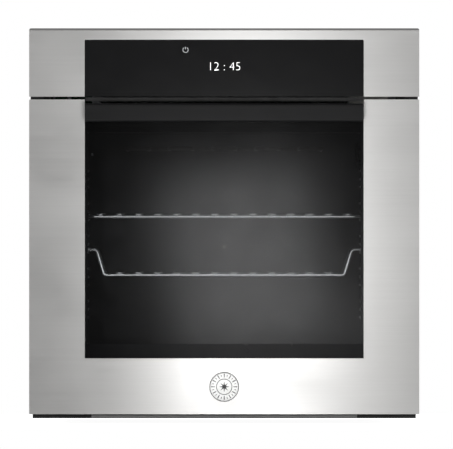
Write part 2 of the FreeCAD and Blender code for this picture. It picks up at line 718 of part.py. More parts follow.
def blower_rotor():
    """A drum of narrow blades between two discs on a shaft."""
    body = doc.addObject("PartDesign::Body", "Rotor")
    disc = sketch_on(body, "XY_Plane", "Disc")
    circle(disc, "rotor_radius")
    pad(body, disc, "2")
    far_disc = sketch_on(body, "XY_Plane", "FarDisc", "178")
    shaft = sketch_on(body, "XY_Plane", "Shaft", "-6")
    circle(shaft, "3.9")
    pad(body, shaft, "204")
    circle(far_disc, "rotor_radius")
    pad(body, far_disc, "2")
    blade = sketch_on(body, "XY_Plane", "Blade", "1")
    rectangle(blade, "7", "1", "rotor_radius - 4.5", "3")
    polar(body, pad(body, blade, "178"), 24)
    body.Placement = FreeCAD.Placement(FreeCAD.Vector(), TURNS["x"])
    place(body, "-90", "blower_y", "blower_z")
    keep("blower_rotor", body)


def convection_fan():
    """A radial wheel behind the cover, its nut, and the motor behind the insulation."""
    body = doc.addObject("PartDesign::Body", "Wheel")
    disc = sketch_on(body, "XY_Plane", "Disc")
    circle(disc, "fan_radius")
    pad(body, disc, "1.4")
    hub = sketch_on(body, "XY_Plane", "Hub")
    circle(hub, "9")
    pad(body, hub, "10")
    shaft = sketch_on(body, "XY_Plane", "Shaft", "-64")
    circle(shaft, "4")
    pad(body, shaft, "66")
    blade = sketch_on(body, "XY_Plane", "Blade", "1")
    rectangle(blade, "30", "1.4", "fan_radius - 17", "6")
    polar(body, pad(body, blade, "15"), 16)
    body.Placement = FreeCAD.Placement(FreeCAD.Vector(), FreeCAD.Rotation(FreeCAD.Vector(1, 0, 0), 90))
    place(body, 0, "cavity_back_y - 6", "fan_height")
    keep("convection_fan_wheel", body)
    nut = doc.addObject("Part::Prism", "Nut")
    nut.Polygon = 6
    nut.Circumradius = 6.5
    nut.Height = 5
    nut.Placement = FreeCAD.Placement(FreeCAD.Vector(), FreeCAD.Rotation(FreeCAD.Vector(1, 0, 0), 90))
    place(nut, 0, "cavity_back_y - 16", "fan_height")
    keep("fan_nut", nut)
    can = rod("y", "30", (0, "cavity_back_y + wool_thick + 6", "fan_height"), "40")
    bore = rod("y", "4.05", (0, "cavity_back_y + wool_thick + 5", "fan_height"), "30")
    feet = [box((f"{side} * 38 - 14", f"{side} * 38 + 14"),
                ("cavity_back_y + wool_thick + 6", "cavity_back_y + wool_thick + 8"),
                ("fan_height - 8", "fan_height + 8")) for side in (-1, 1)]
    keep("convection_motor", cut(fuse([can] + feet), [bore]))


def electrics():
    """The power board, the safety thermostat and the mains terminals on the separator plate."""
    board = box(("-268", "-198"), ("-130", "70"), ("deck + 6", "deck + 7.6"))
    relays = [box(("-260", "-242"), (f"{y}", f"{y} + 24"), ("deck + 7.6", "deck + 24"))
              for y in (-120, -90, -60, -30)]
    coil = box(("-236", "-204"), ("0", "40"), ("deck + 7.6", "deck + 36"))
    caps = [rod("z", "7", ("-216", f"{y}", "deck + 7.6"), "22") for y in (-110, -80)]
    posts = [rod("z", "3", (x, y, "deck"), "7") for x in ("-263", "-203") for y in ("-125", "65")]
    keep("power_board", fuse([board, coil] + relays + caps + posts))
    can = rod("z", "9", ("235", "0", "deck"), "9")
    tabs = [box((x, f"{x} + 6"), ("-2", "2"), ("deck + 8", "deck + 16")) for x in ("227", "237")]
    keep("thermal_cutout", fuse([can] + tabs))
    block = box(("inlet_x - 30", "inlet_x + 30"), ("rear_y - 50", "rear_y - 22"), ("deck", "inlet_z + 10"))
    wells = [rod("z", "4", (f"inlet_x + {i} * 20", "rear_y - 36", "inlet_z - 2"), "14") for i in (-1, 0, 1)]
    keep("terminal_block", cut(block, wells))
    sleeve = rod("y", "inlet_radius + 4", ("inlet_x", "rear_y - 14", "inlet_z"), "14")
    flange = rod("y", "inlet_radius + 8", ("inlet_x", "rear_y - 1.9", "inlet_z"), "1.9")
    bore = rod("y", "inlet_radius", ("inlet_x", "rear_y - 15", "inlet_z"), "16")
    keep("cable_inlet", cut(fuse([sleeve, flange]), [bore]))


# ---------------------------------------------------------------- front

def lower_trim():
    """The strip under the door, a lip with a foot that lies on the cabinet floor."""
    lip = wide_box("oven_half - 5", ("cabinet_y - sheet_steel", "cabinet_y"), ("0", "door_bottom"))
    foot = wide_box("chassis_half - 1.6", ("cabinet_y - 1", "frame_back"), ("0", "sheet_steel"))
    keep("lower_trim", fuse([lip, foot]))


def control_fascia():
    """The steel control panel: an upside-down U round the black glass, folded back on its edges."""
    back = "cabinet_y - sheet_steel - 0.4"
    block = rounded(wide_box("oven_half", ("face_y", back), ("fascia_low", "oven_height")), "3",
                    lambda edge: along("y")(edge) and edge.CenterOfMass.z > mm("oven_height - 1"))
    bevel = wide_box("oven_half + 1", ("0", "10"), ("0", "10"))
    bevel.Placement.Rotation = FreeCAD.Rotation(FreeCAD.Vector(1, 0, 0), 45)
    place(bevel, "-(oven_half + 1)", "face_y", "oven_height - 3.2")
    hollow = wide_box("oven_half - sheet_steel", ("face_y + sheet_steel", f"{back} + 1"),
                      ("fascia_low + sheet_steel", "oven_height - 4.4"))
    window = wide_box("glass_half", ("face_y - 1", f"{back} + 1"),
                      ("fascia_low - 1", "fascia_low + panel_glass_height"))
    keep("control_fascia", cut(block, [bevel, hollow, window]))


def control_unit():
    """Black touch glass, the display behind it, the key board and the tray that holds them."""
    glass = wide_box("glass_half - 0.2", ("face_y + 0.1", "face_y + glass_thick"),
                     ("fascia_low + 0.2", "fascia_low + panel_glass_height - 0.2"))
    keep("control_glass", glass)
    tray = wide_box("glass_half - 2", ("face_y + glass_thick + 0.2", "frame_y - 4"),
                    ("fascia_low + 4", "fascia_low + panel_glass_height - 4"))
    inside = wide_box("glass_half - 5", ("face_y + glass_thick", "frame_y - 7"),
                      ("fascia_low + 7", "fascia_low + panel_glass_height - 7"))
    ears = both_sides(("face_y + 9", "face_y + 11"), ("fascia_low + 20", "fascia_low + 60"),
                      "glass_half - 3", "oven_half - 3")
    keep("panel_carrier", fuse([cut(tray, [inside])] + ears))
    board = wide_box("120", ("face_y + 10", "face_y + 11.6"), ("fascia_low + 20", "fascia_low + 78"))
    chips = [box((f"{x}", f"{x} + 12"), ("face_y + 11.6", "face_y + 14"),
                 ("fascia_low + 30", "fascia_low + 42")) for x in (-90, -50, 60)]
    keys = [rod("y", "5", (f"{x}", "face_y + glass_thick + 0.2", "fascia_low + 71.5"), "6.2")
            for x in (-59, 59)]
    keep("touch_board", fuse([board] + chips + keys))
    screen = box(("-34", "37"), ("face_y + glass_thick + 0.2", "face_y + 9.8"),
                 ("fascia_low + 34", "fascia_low + 60"))
    keep("display_module", screen)


def casing_screws():
    """Screws through the rear cover, heads on the outside."""
    screws = []
    for side in (-1, 1):
        for height in screw_heights():
            x = f"{side} * (chassis_half - screw_inset)"
            head = rod("y", "4", (x, "rear_y - 2", height), "1.8")
            shank = rod("y", "1.8", (x, "rear_y - 9", height), "7.5")
            screws.append(fuse([head, shank]))
    group("casing_screws", screws)


# ---------------------------------------------------------------- door

def door_outer_frame():
    """The steel door skin: a U round the window, folded back all round."""
    skin = wide_box("oven_half", ("face_y", "pan_back"), ("door_bottom", "door_top"))
    skin = rounded(skin, "1.6", lambda edge: along("y")(edge))
    hollow = wide_box("oven_half - sheet_steel", ("face_y + sheet_steel", "pan_back - sheet_steel"),
                      ("door_bottom + sheet_steel", "door_top - sheet_steel"))
    window = wide_box("glass_half", ("face_y - 1", "pan_back + 1"), ("window_low", "door_top + 1"))
    rear_opening = wide_box("inner_half + 0.5", ("pan_back - 2", "pan_back + 1"),
                            ("door_bottom - 1", "door_cap_top + 0.4"))
    hinge_room = wide_box("inner_half + 0.5", ("pivot_y - 5", "pan_back + 1"),
                          ("door_bottom - 1", "door_bottom + 3"))
    side_lips = both_sides(("rest_front", "rest_back"), ("window_low - 8", "door_cap_top - 5"),
                           "glass_half - glass_rest", "glass_half + 1")
    side_steps = both_sides(("face_y + 0.8", "rest_back"), ("window_low - 1", "door_cap_top - 5"),
                            "glass_half", "glass_half + 1")
    low_lip = wide_box("glass_half + 1", ("rest_front", "rest_back"), ("window_low - 8", "window_low + 8"))
    low_step = wide_box("glass_half + 1", ("face_y + 0.8", "rest_back"), ("window_low - 1", "window_low"))
    shell = cut(skin, [hollow, window, rear_opening, hinge_room])
    keep("door_outer_frame", fuse([shell, low_lip, low_step] + side_lips + side_steps))


def door_glasses():
    """The outer pane, drilled for the handle, the middle pane and the inner pane."""
    holes = [rod("y", "3.4", (f"{side} * bar_end", "face_y - 1", "handle_axis"), "8") for side in (-1, 1)]
    outer = wide_box("glass_half - 0.3", ("face_y + 0.1", "face_y + glass_thick"),
                     ("window_low + 0.3", "door_cap_top - 4.7"))
    keep("outer_glass", cut(outer, holes))
    middle = wide_box("glass_half + 8", ("door_back - 18", "door_back - 14"), ("60", "door_cap_top - 12"))
    keep("middle_glass", middle)
    inner = wide_box("inner_half", ("door_back - glass_thick", "door_back"),
                     ("door_bottom + 19.6", "door_cap_top - 5"))
    keep("inner_glass", inner)


def door_columns():
    """The upright channels that hold the hinges and the panes."""
    y = ("face_y + glass_thick + 1.6", "door_back - glass_thick - 0.3")
    channel = box(("inner_half - 37", "inner_half - 0.4"), y, ("door_bottom + 18.4", "door_cap_top - 5.2"))
    hollow = box(("inner_half - 37 + sheet_steel", "inner_half - 0.4 - sheet_steel"),
                 (f"{y[0]} + sheet_steel", f"{y[1]} + 1"), ("door_bottom + 17", "door_cap_top"))
    right = keep("door_column_right", cut(channel, [hollow]))
    keep("door_column_left", mirrored(right))


def door_caps():
    """The black cap along the top edge and the channel along the bottom edge."""
    cap = wide_box("inner_half", ("face_y + glass_thick + 0.2", "door_back"),
                   ("door_cap_top - 4.6", "door_cap_top"))
    nose = wide_box("glass_half - 0.4", ("face_y + 0.3", "face_y + glass_thick + 1"),
                    ("door_cap_top - 4.6", "door_cap_top"))
    vents = [box((f"{x} * 24 - 8", f"{x} * 24 + 8"), ("door_back - 14", "door_back - 8"),
                 ("door_cap_top - 6", "door_cap_top + 1")) for x in range(-9, 10)]
    keep("door_top_cap", cut(fuse([cap, nose]), vents))
    y, z = ("face_y + 6", "door_back"), ("door_bottom + 1.3", "door_bottom + 17.8")
    rail = wide_box("inner_half - 0.2", y, z)
    hollow = wide_box("inner_half - 1.4", ("face_y + 7.2", "door_back - 1.2"),
                      (f"{z[0]} + 1.2", f"{z[1]} + 1"))
    slots = both_sides(("face_y + 7.2", "door_back + 1"), ("door_bottom", f"{z[1]} + 1"),
                       "hinge_reach - 7", "hinge_reach + 7")
    keep("door_bottom_rail", cut(rail, [hollow] + slots))


def handle():
    """A flat black bar on two posts, screwed on from inside the door."""
    body = doc.addObject("PartDesign::Body", "Handle")
    section = sketch_on(body, "XY_Plane", "Section")
    rectangle(section, "handle_thick", "handle_height")
    bar = pad(body, section, "handle_width")
    edges = [f"Edge{i}" for i, edge in enumerate(bar.Shape.Edges, start=1) if along("z")(edge)]
    soft = body.newObject("PartDesign::Fillet", "Soft")
    soft.Base = (bar, edges)
    soft.Radius = 3
    body.Tip = soft
    body.Placement = FreeCAD.Placement(FreeCAD.Vector(), FreeCAD.Rotation(FreeCAD.Vector(1, 1, 1), 120))
    place(body, "-(handle_width / 2)", "handle_y + handle_thick / 2", "handle_axis")
    keep("handle_bar", body)
    posts, screws = [], []
    for side in (-1, 1):
        x = f"{side} * bar_end"
        post = box((f"{x} - 7", f"{x} + 7"), ("handle_y + handle_thick + 0.05", "face_y + 0.05"),
                   ("handle_axis - 9", "handle_axis + 9"))
        posts.append(cut(post, [rod("y", "2.6", (x, "face_y - 16", "handle_axis"), "20")]))
        head = rod("y", "5", (x, "face_y + glass_thick + 0.4", "handle_axis"), "3")
        shank = rod("y", "2.5", (x, "face_y - 15", "handle_axis"), "20")
        screws.append(fuse([head, shank]))
    group("handle_mounts", posts)
    group("handle_screws", screws)


def badge():
    """A plain round plate with a raised rim and a recessed ring."""
    radius, plate, ring, rim = mm("badge_radius"), 1.2, 1.6, 1.8
    profile = [(0, 0), (radius, 0), (radius, 1.1), (radius - 0.7, rim), (radius - 2.2, rim),
               (radius - 2.8, plate), (radius - 10.4, plate), (radius - 10.8, ring), (radius - 11.8, ring),
               (radius - 12.2, plate), (0, plate)]
    body = doc.addObject("PartDesign::Body", "Badge")
    outline = body.newObject("Sketcher::SketchObject", "Outline")
    outline.AttachmentSupport = (plane(body, "XZ_Plane"), [""])
    outline.MapMode = "FlatFace"
    corners = [FreeCAD.Vector(x, y, 0) for x, y in profile]
    for start, end in zip(corners, corners[1:] + corners[:1]):
        outline.addGeometry(Part.LineSegment(start, end))
    for side in range(len(corners)):
        outline.addConstraint(Sketcher.Constraint("Coincident", side, 2, (side + 1) % len(corners), 1))
    turned = body.newObject("PartDesign::Revolution", "Turned")
    turned.Profile = outline
    turned.ReferenceAxis = (plane(body, "Z_Axis"), [""])
    turned.Angle = 360
    body.Placement = FreeCAD.Placement(FreeCAD.Vector(), FreeCAD.Rotation(FreeCAD.Vector(1, 0, 0), 90))
    place(body, 0, "face_y - 0.05", "badge_height")
    keep("badge", body)


# ---------------------------------------------------------------- hinges

def hinges():
    """Spring hinges: arms fixed in the casing, channels and pins in the door."""
    arms, receivers, channels, pins = [], [], [], []
    for side in (-1, 1):
        centre = f"{side} * hinge_reach"

        def slab(half, y, z):
            return box((f"{centre} - {half}", f"{centre} + {half}"), y, z)

        boss = rod("x", "4", (f"{centre} - 2.5", "pivot_y", "pivot_z"), "5")
        bar = slab(2.5, ("pivot_y", "frame_back + 24"), ("pivot_z - 3.4", "pivot_z + 4"))
        tail = slab(2.5, ("frame_back + 4", "frame_back + 24"), ("pivot_z - 3.4", "pivot_z + 26"))
        bore = rod("x", "pin_radius + pin_play", (f"{centre} - 5", "pivot_y", "pivot_z"), "10")
        arms.append(cut(fuse([boss, bar, tail]), [bore]))
        holder = slab(4.2, ("frame_back + 0.3", "frame_back + 40"), ("pivot_z - 6", "pivot_z + 30"))
        room = slab(3, ("frame_back - 1", "frame_back + 41"), ("pivot_z - 4.6", "pivot_z + 28.6"))
        receivers.append(cut(holder, [room]))
        channel = slab(6, ("pivot_y - 7.5", "pivot_y + 11"), ("pivot_z - 2.6", "pivot_z + 130"))
        inside = slab(4.5, ("pivot_y - 6", "pivot_y + 12"), ("pivot_z - 4", "pivot_z + 131"))
        pin_hole = rod("x", "pin_radius + 0.02", (f"{centre} - 9", "pivot_y", "pivot_z"), "18")
        channels.append(cut(channel, [inside, pin_hole]))
        pins.append(rod("x", "pin_radius", (f"{centre} - 6.6", "pivot_y", "pivot_z"), "13.2"))
    group("hinge_arms", arms)
    group("hinge_receivers", receivers)
    group("hinge_channels", channels)
    group("hinge_pins", pins)
    hinge_springs()


def hinge_springs():
    """Close-wound springs in the door columns, above the hinge channels."""
    coils = []
    for side in (-1, 1):
        start = FreeCAD.Vector(side * mm("hinge_reach"), mm("pivot_y + 2"), mm("pivot_z + 140"))
        helix = Part.makeHelix(3.2, 96, 5.5)
        circle_at = Part.Wire(Part.makeCircle(1.1, FreeCAD.Vector(5.5, 0, 0), FreeCAD.Vector(0, 1, 0)))
        coil = Part.Wire(helix.Edges).makePipeShell([circle_at], True, True)
        coil.Placement = FreeCAD.Placement(start, FreeCAD.Rotation())
        coils.append(coil)
    solid("hinge_springs", Part.makeCompound(coils))


# ---------------------------------------------------------------- shelves

def hairpins(count, y_front, y_back, height):
    """Pairs of thin wires joined by a bend at the front."""
    half, wire, pitch = mm("hairpin_half"), mm("hairpin_radius"), mm("hairpin_pitch")
    pieces = []
    for i in range(count):
        x = (i - (count - 1) / 2) * pitch
        for leg in (-half, half):
            pieces.append(Part.makeCylinder(wire, y_back - y_front - half,
                                            FreeCAD.Vector(x + leg, y_front + half, height),
                                            FreeCAD.Vector(0, 1, 0)))
        bend = Part.makeTorus(half, wire, FreeCAD.Vector(), FreeCAD.Vector(0, 0, 1), -180, 180, 180)
        bend.Placement = FreeCAD.Placement(FreeCAD.Vector(x, y_front + half, height),
                                           FreeCAD.Rotation(FreeCAD.Vector(0, 0, 1), 180))
        pieces.append(bend)
    return pieces


def shelf_base():
    """Reach of the side rods, front and back of a shelf, and the rods' radius."""
    return mm("rod_x"), mm("shelf_y"), mm("shelf_y + shelf_long"), mm("rod_radius")


def upper_shelf():
    """A flat grid: a closed rod frame with hairpin wires on top."""
    reach, front, back, radius = shelf_base()
    z = mm("upper_z")
    rim = closed_rod([(reach, front, z), (reach, back, z), (-reach, back, z), (-reach, front, z)], radius, 9)
    start = FreeCAD.Vector(-reach, (front + back) / 2, z + 0.2 * radius)
    cross = Part.makeCylinder(0.8 * radius, 2 * reach, start, FreeCAD.Vector(1, 0, 0))
    lift = radius + mm("hairpin_radius") - 0.3
    wires = hairpins(14, front - 1, back + 1, z + lift)
    solid("upper_shelf", rim.fuse([cross] + wires))


def lower_shelf():
    """A dropped grid: rods that dip between the side rims, with hairpin wires on top."""
    reach, front, back, radius = shelf_base()
    z = mm("lower_z")
    low = z - mm("shelf_drop")
    sides = [Part.makeCylinder(radius, back - front, FreeCAD.Vector(side * reach, front, z),
                               FreeCAD.Vector(0, 1, 0)) for side in (-1, 1)]
    dips = []
    for y in (front + 4, (front + back) / 2, back - 4):
        dips.append(wire_rod([(-reach, y, z), (-reach + 13, y, z), (-reach + 25, y, low),
                              (reach - 25, y, low), (reach - 13, y, z), (reach, y, z)], 0.9 * radius, 6))
    lift = 0.9 * radius + mm("hairpin_radius") - 0.3
    wires = hairpins(12, front + 2.6, back - 2.6, low + lift)
    solid("lower_shelf", sides[0].fuse(sides[1:] + dips + wires))


# ---------------------------------------------------------------- whole oven

for build in (front_frame, side_panels, top_cover, base_panel, rear_cover, cavity_shell, cavity_back,
              insulation_blanket, grill_element, base_element, ring_element, fan_baffle, side_racks,
              rack_studs, door_gasket, oven_lamp, temperature_probe, separator_plate, air_duct,
              air_outlet_grille, blower, convection_fan, electrics, lower_trim, control_fascia,
              control_unit, casing_screws, door_outer_frame, door_glasses, door_columns, door_caps,
              handle, badge, hinges, upper_shelf, lower_shelf):
    build()
doc.recompute()

for item in doc.Objects:
    if "Invalid" in item.State or "Error" in item.State:
        raise RuntimeError(f"{item.Name} ({item.Label}) did not build: {item.State}")
os.makedirs("parts", exist_ok=True)
for item in nodes:
    shape = item.Shape
    if shape.isNull() or not shape.isValid() or not shape.Solids:
        raise RuntimeError(f"{item.Label} has no valid solid")
    shape.exportStep(f"parts/{item.Label}.step")
    size = shape.BoundBox
    print(f"{item.Label:24s} solids {len(shape.Solids)}  volume {shape.Volume:12.1f}  "
          f"x {size.XMin:.1f} {size.XMax:.1f}  y {size.YMin:.1f} {size.YMax:.1f}  "
          f"z {size.ZMin:.1f} {size.ZMax:.1f}")
print(len(nodes), "sub-parts")
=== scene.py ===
import json
import math

import bmesh
import bpy
from mathutils import Matrix, Vector


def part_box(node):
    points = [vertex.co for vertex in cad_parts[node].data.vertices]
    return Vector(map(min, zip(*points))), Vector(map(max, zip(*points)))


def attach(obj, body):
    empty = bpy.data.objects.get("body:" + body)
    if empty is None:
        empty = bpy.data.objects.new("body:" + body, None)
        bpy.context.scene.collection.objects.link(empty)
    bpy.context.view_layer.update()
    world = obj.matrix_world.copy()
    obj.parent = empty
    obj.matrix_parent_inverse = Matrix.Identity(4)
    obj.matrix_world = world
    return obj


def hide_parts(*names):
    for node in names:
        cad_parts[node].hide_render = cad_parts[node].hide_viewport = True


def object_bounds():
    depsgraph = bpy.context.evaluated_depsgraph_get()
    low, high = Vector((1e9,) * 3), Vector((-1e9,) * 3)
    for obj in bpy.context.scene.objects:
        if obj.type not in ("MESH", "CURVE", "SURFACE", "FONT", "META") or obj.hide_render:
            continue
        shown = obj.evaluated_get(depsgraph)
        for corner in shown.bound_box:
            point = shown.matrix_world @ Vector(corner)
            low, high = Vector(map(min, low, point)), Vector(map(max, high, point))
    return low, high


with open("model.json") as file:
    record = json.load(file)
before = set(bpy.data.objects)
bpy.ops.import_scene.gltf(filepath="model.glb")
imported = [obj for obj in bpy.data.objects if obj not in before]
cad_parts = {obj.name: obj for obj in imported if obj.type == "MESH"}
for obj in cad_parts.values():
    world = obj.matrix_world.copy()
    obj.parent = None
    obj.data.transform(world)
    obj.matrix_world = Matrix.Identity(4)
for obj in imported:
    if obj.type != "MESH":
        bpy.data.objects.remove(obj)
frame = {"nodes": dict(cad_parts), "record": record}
cad_low, cad_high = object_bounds()

MM = 0.001


# ---------------------------------------------------------------- materials

class Surface:
    """One procedural material: a Principled shader and the nodes that feed it. Scales are per metre."""

    def __init__(self, name, colour, roughness, metallic=0.0, **constants):
        self.material = bpy.data.materials.new(name)
        self.material.use_nodes = True
        self.tree = self.material.node_tree
        self.shader = self.tree.nodes["Principled BSDF"]
        self.shader.inputs["Base Color"].default_value = (*colour, 1)
        self.shader.inputs["Roughness"].default_value = roughness
        self.shader.inputs["Metallic"].default_value = metallic
        for socket, value in constants.items():
            self.shader.inputs[socket.replace("_", " ")].default_value = value
        self.points = self.add("ShaderNodeTexCoord").outputs["Object"]

    def add(self, kind, **settings):
        node = self.tree.nodes.new(kind)
        for key, value in settings.items():
            setattr(node, key, value)
        return node

    def link(self, source, target):
        self.tree.links.new(source, target)

    def stretched(self, scale):
        """The piece's own coordinates, scaled along each axis."""
        node = self.add("ShaderNodeMapping")
        node.inputs["Scale"].default_value = scale
        self.link(self.points, node.inputs["Vector"])
        return node.outputs["Vector"]

    def grain(self, scale, detail=3.0, distortion=0.0):
        """Noise with so many blotches per metre along each axis."""
        node = self.add("ShaderNodeTexNoise")
        node.inputs["Scale"].default_value = 1.0
        node.inputs["Detail"].default_value = detail
        node.inputs["Distortion"].default_value = distortion
        self.link(self.stretched(scale), node.inputs["Vector"])
        return node.outputs["Fac"]

    def cells(self, scale, output="Distance", feature="F1"):
        """Voronoi cells with so many per metre along each axis."""
        node = self.add("ShaderNodeTexVoronoi", feature=feature)
        node.inputs["Scale"].default_value = 1.0
        self.link(self.stretched(scale), node.inputs["Vector"])
        return node.outputs[output]

    def bands(self, scale, direction, distortion=0.0):
        """Even stripes across one axis."""
        node = self.add("ShaderNodeTexWave", bands_direction=direction)
        node.inputs["Scale"].default_value = scale
        node.inputs["Distortion"].default_value = distortion
        self.link(self.points, node.inputs["Vector"])
        return node.outputs["Fac"]

    def spread(self, value, low, high, start=0.3, end=0.7):
        """A value from start to end becomes low to high."""
        node = self.add("ShaderNodeMapRange")
        for socket, number in zip(("From Min", "From Max", "To Min", "To Max"), (start, end, low, high)):
            node.inputs[socket].default_value = number
        self.link(value, node.inputs["Value"])
        return node.outputs["Result"]

    def combine(self, operation, first, second):
        """One sum or product of two values, either of which may be a number."""
        node = self.add("ShaderNodeMath", operation=operation)
        for socket, value in zip(node.inputs, (first, second)):
            if isinstance(value, (int, float)):
                socket.default_value = value
            else:
                self.link(value, socket)
        return node.outputs["Value"]

    def weighed(self, first, second, share):
        """The sum of two values: a share of the first and the rest of the second."""
        parts = [self.combine("MULTIPLY", first, share), self.combine("MULTIPLY", second, 1 - share)]
        return self.combine("ADD", *parts)

    def mixed(self, share, first, second):
        """A colour between two, either of which may be a socket."""
        node = self.add("ShaderNodeMix", data_type="RGBA")
        self.link(share, node.inputs["Factor"])
        for socket, value in ((node.inputs[6], first), (node.inputs[7], second)):
            if isinstance(value, tuple):
                socket.default_value = (*value, 1)
            else:
                self.link(value, socket)
        return node.outputs[2]

    def tint(self, share, first, second):
        """Base colour between two colours. Returns it, for a further mix."""
        colour = self.mixed(share, first, second)
        self.link(colour, self.shader.inputs["Base Color"])
        return colour

    def rough(self, value):
        """Roughness from a value."""
        self.link(value, self.shader.inputs["Roughness"])

    def bump(self, height, depth, strength=0.4):
        """Relief of a depth in metres, over any relief made before."""
        node = self.add("ShaderNodeBump")
        node.inputs["Strength"].default_value = strength
        node.inputs["Distance"].default_value = depth
        self.link(height, node.inputs["Height"])
        normal = self.shader.inputs["Normal"]
        if normal.is_linked:
            self.link(normal.links[0].from_socket, node.inputs["Normal"])
        self.link(node.outputs["Normal"], normal)

    def edges(self, radius=0.0008):
        """About 1 along sharp edges and 0 on flat faces, for wear."""
        soft = self.add("ShaderNodeBevel", samples=3)
        soft.inputs["Radius"].default_value = radius
        sharp = self.add("ShaderNodeNewGeometry")
        turn = self.add("ShaderNodeVectorMath", operation="DOT_PRODUCT")
        self.link(soft.outputs["Normal"], turn.inputs[0])
        self.link(sharp.outputs["Normal"], turn.inputs[1])
        return self.spread(turn.outputs["Value"], 1.0, 0.0, 0.75, 0.99)


def brushed_steel():
    """Stainless steel with its grain along X, which spreads highlights upright."""
    steel = Surface("brushed_steel", (0.66, 0.655, 0.645), 0.3, 1.0,
                    Anisotropic=0.75, Anisotropic_Rotation=0.25)
    tangent = steel.add("ShaderNodeTangent", direction_type="RADIAL", axis="Z")
    steel.link(tangent.outputs["Tangent"], steel.shader.inputs["Tangent"])
    fine = steel.grain((14, 900, 2400), 4)
    coarse = steel.grain((3, 90, 260), 3)
    both = steel.weighed(fine, coarse, 0.6)
    steel.tint(steel.spread(both, 0, 1, 0.35, 0.65), (0.645, 0.64, 0.63), (0.675, 0.67, 0.66))
    smears = steel.spread(steel.grain((7, 7, 11), 4, 0.6), -0.02, 0.05)
    steel.rough(steel.combine("ADD", steel.spread(both, 0.29, 0.34), smears))
    steel.bump(fine, 0.00002, 0.15)
    return steel.material


def black_glass():
    """Dark satin glass over the controls, with faint finger marks."""
    glass = Surface("black_glass", (0.004, 0.004, 0.0045), 0.22, Specular_IOR_Level=0.28)
    dust = glass.cells((420, 420, 420))
    glass.tint(glass.spread(dust, 1, 0, 0.03, 0.12), (0.004, 0.004, 0.0045), (0.012, 0.012, 0.012))
    marks = glass.grain((26, 26, 34), 5, 1.2)
    glass.rough(glass.spread(marks, 0.21, 0.235))
    glass.bump(glass.grain((1800, 1800, 1800), 2), 0.00001, 0.15)
    return glass.material


def pane(name, clear, stained, gloss_low, gloss_high, mirror):
    """Flat glass: what is behind it shows through its tint, and its face mirrors the room.

    The mirror index sets how much of the room it shows."""
    glass = Surface(name, clear, gloss_low)
    glass.tree.nodes.remove(glass.shader)
    film = glass.spread(glass.grain((5, 5, 3), 3, 0.4), 0, 1)
    through = glass.add("ShaderNodeBsdfTransparent")
    glass.link(glass.mixed(film, clear, stained), through.inputs["Color"])
    shine = glass.add("ShaderNodeBsdfAnisotropic")
    haze = glass.spread(glass.grain((22, 22, 30), 4, 0.8), gloss_low, gloss_high)
    glass.link(haze, shine.inputs["Roughness"])
    share = glass.add("ShaderNodeFresnel")
    share.inputs["IOR"].default_value = mirror
    both = glass.add("ShaderNodeMixShader")
    glass.link(share.outputs["Fac"], both.inputs["Fac"])
    glass.link(through.outputs["BSDF"], both.inputs[1])
    glass.link(shine.outputs["BSDF"], both.inputs[2])
    glass.link(both.outputs["Shader"], glass.tree.nodes["Material Output"].inputs["Surface"])
    return glass.material


def satin_black():
    """Black anodised metal with a fine grain along X and paler edges."""
    black = Surface("satin_black", (0.007, 0.007, 0.0075), 0.36, Specular_IOR_Level=0.17)
    fine = black.grain((18, 1500, 1500), 3)
    worn = black.combine("MULTIPLY", black.edges(), black.spread(black.grain((60, 60, 60), 4), 0.1, 0.8))
    base = black.mixed(black.spread(fine, 0, 1), (0.006, 0.006, 0.0065), (0.011, 0.011, 0.0115))
    black.tint(worn, base, (0.06, 0.06, 0.062))
    black.rough(black.spread(black.grain((30, 40, 40), 4, 0.5), 0.30, 0.42))
    black.bump(fine, 0.00003, 0.2)
    return black.material


def moulded(name, dark, light, low=0.42, high=0.6, pebbles=1400, shine=0.5):
    """Moulded plastic with a fine pebble skin."""
    plastic = Surface(name, dark, high, Specular_IOR_Level=shine)
    base = plastic.mixed(plastic.spread(plastic.grain((40, 40, 40), 4), 0, 1), dark, light)
    pale = tuple(min(1.0, channel * 2 + 0.02) for channel in light)
    plastic.tint(plastic.combine("MULTIPLY", plastic.edges(0.0006), 0.5), base, pale)
    plastic.rough(plastic.spread(plastic.grain((25, 25, 25), 4, 0.5), low, high))
    plastic.bump(plastic.cells((pebbles, pebbles, pebbles)), 0.00006, 0.35)
    return plastic.material


def enamel(name, dark, light, low, high, specks):
    """Vitreous enamel: glossy, slightly uneven, with small pale specks."""
    glaze = Surface(name, dark, low, Specular_IOR_Level=0.4)
    base = glaze.mixed(glaze.spread(glaze.grain((9, 9, 9), 4), 0, 1), dark, light)
    dots = glaze.spread(glaze.cells((specks, specks, specks)), 0.55, 0, 0.08, 0.2)
    glaze.tint(dots, base, (0.20, 0.20, 0.22))
    glaze.rough(glaze.spread(glaze.grain((16, 16, 16), 5, 0.7), low, high))
    glaze.bump(glaze.grain((60, 60, 60), 2), 0.0002, 0.1)
    return glaze.material


def galvanised():
    """Zinc-coated sheet: flat crystals of differing grey, streaks and dull patches."""
    zinc = Surface("galvanised", (0.55, 0.57, 0.58), 0.42, 0.85)
    crystals = zinc.cells((130, 130, 190), "Color")
    grey = zinc.add("ShaderNodeRGBToBW")
    zinc.link(crystals, grey.inputs["Color"])
    fine = zinc.grain((600, 600, 25), 3)
    value = zinc.weighed(grey.outputs["Val"], fine, 0.6)
    base = zinc.mixed(zinc.spread(value, 0, 1, 0.25, 0.75), (0.52, 0.53, 0.54), (0.60, 0.61, 0.62))
    stains = zinc.spread(zinc.grain((6, 6, 9), 4, 0.4), 0, 0.18, 0.45, 0.75)
    zinc.tint(stains, base, (0.40, 0.41, 0.42))
    dull = zinc.spread(zinc.grain((14, 14, 14), 4), 0, 0.12)
    zinc.rough(zinc.combine("ADD", zinc.spread(grey.outputs["Val"], 0.4, 0.5, 0, 1), dull))
    zinc.bump(value, 0.00006, 0.3)
    return zinc.material


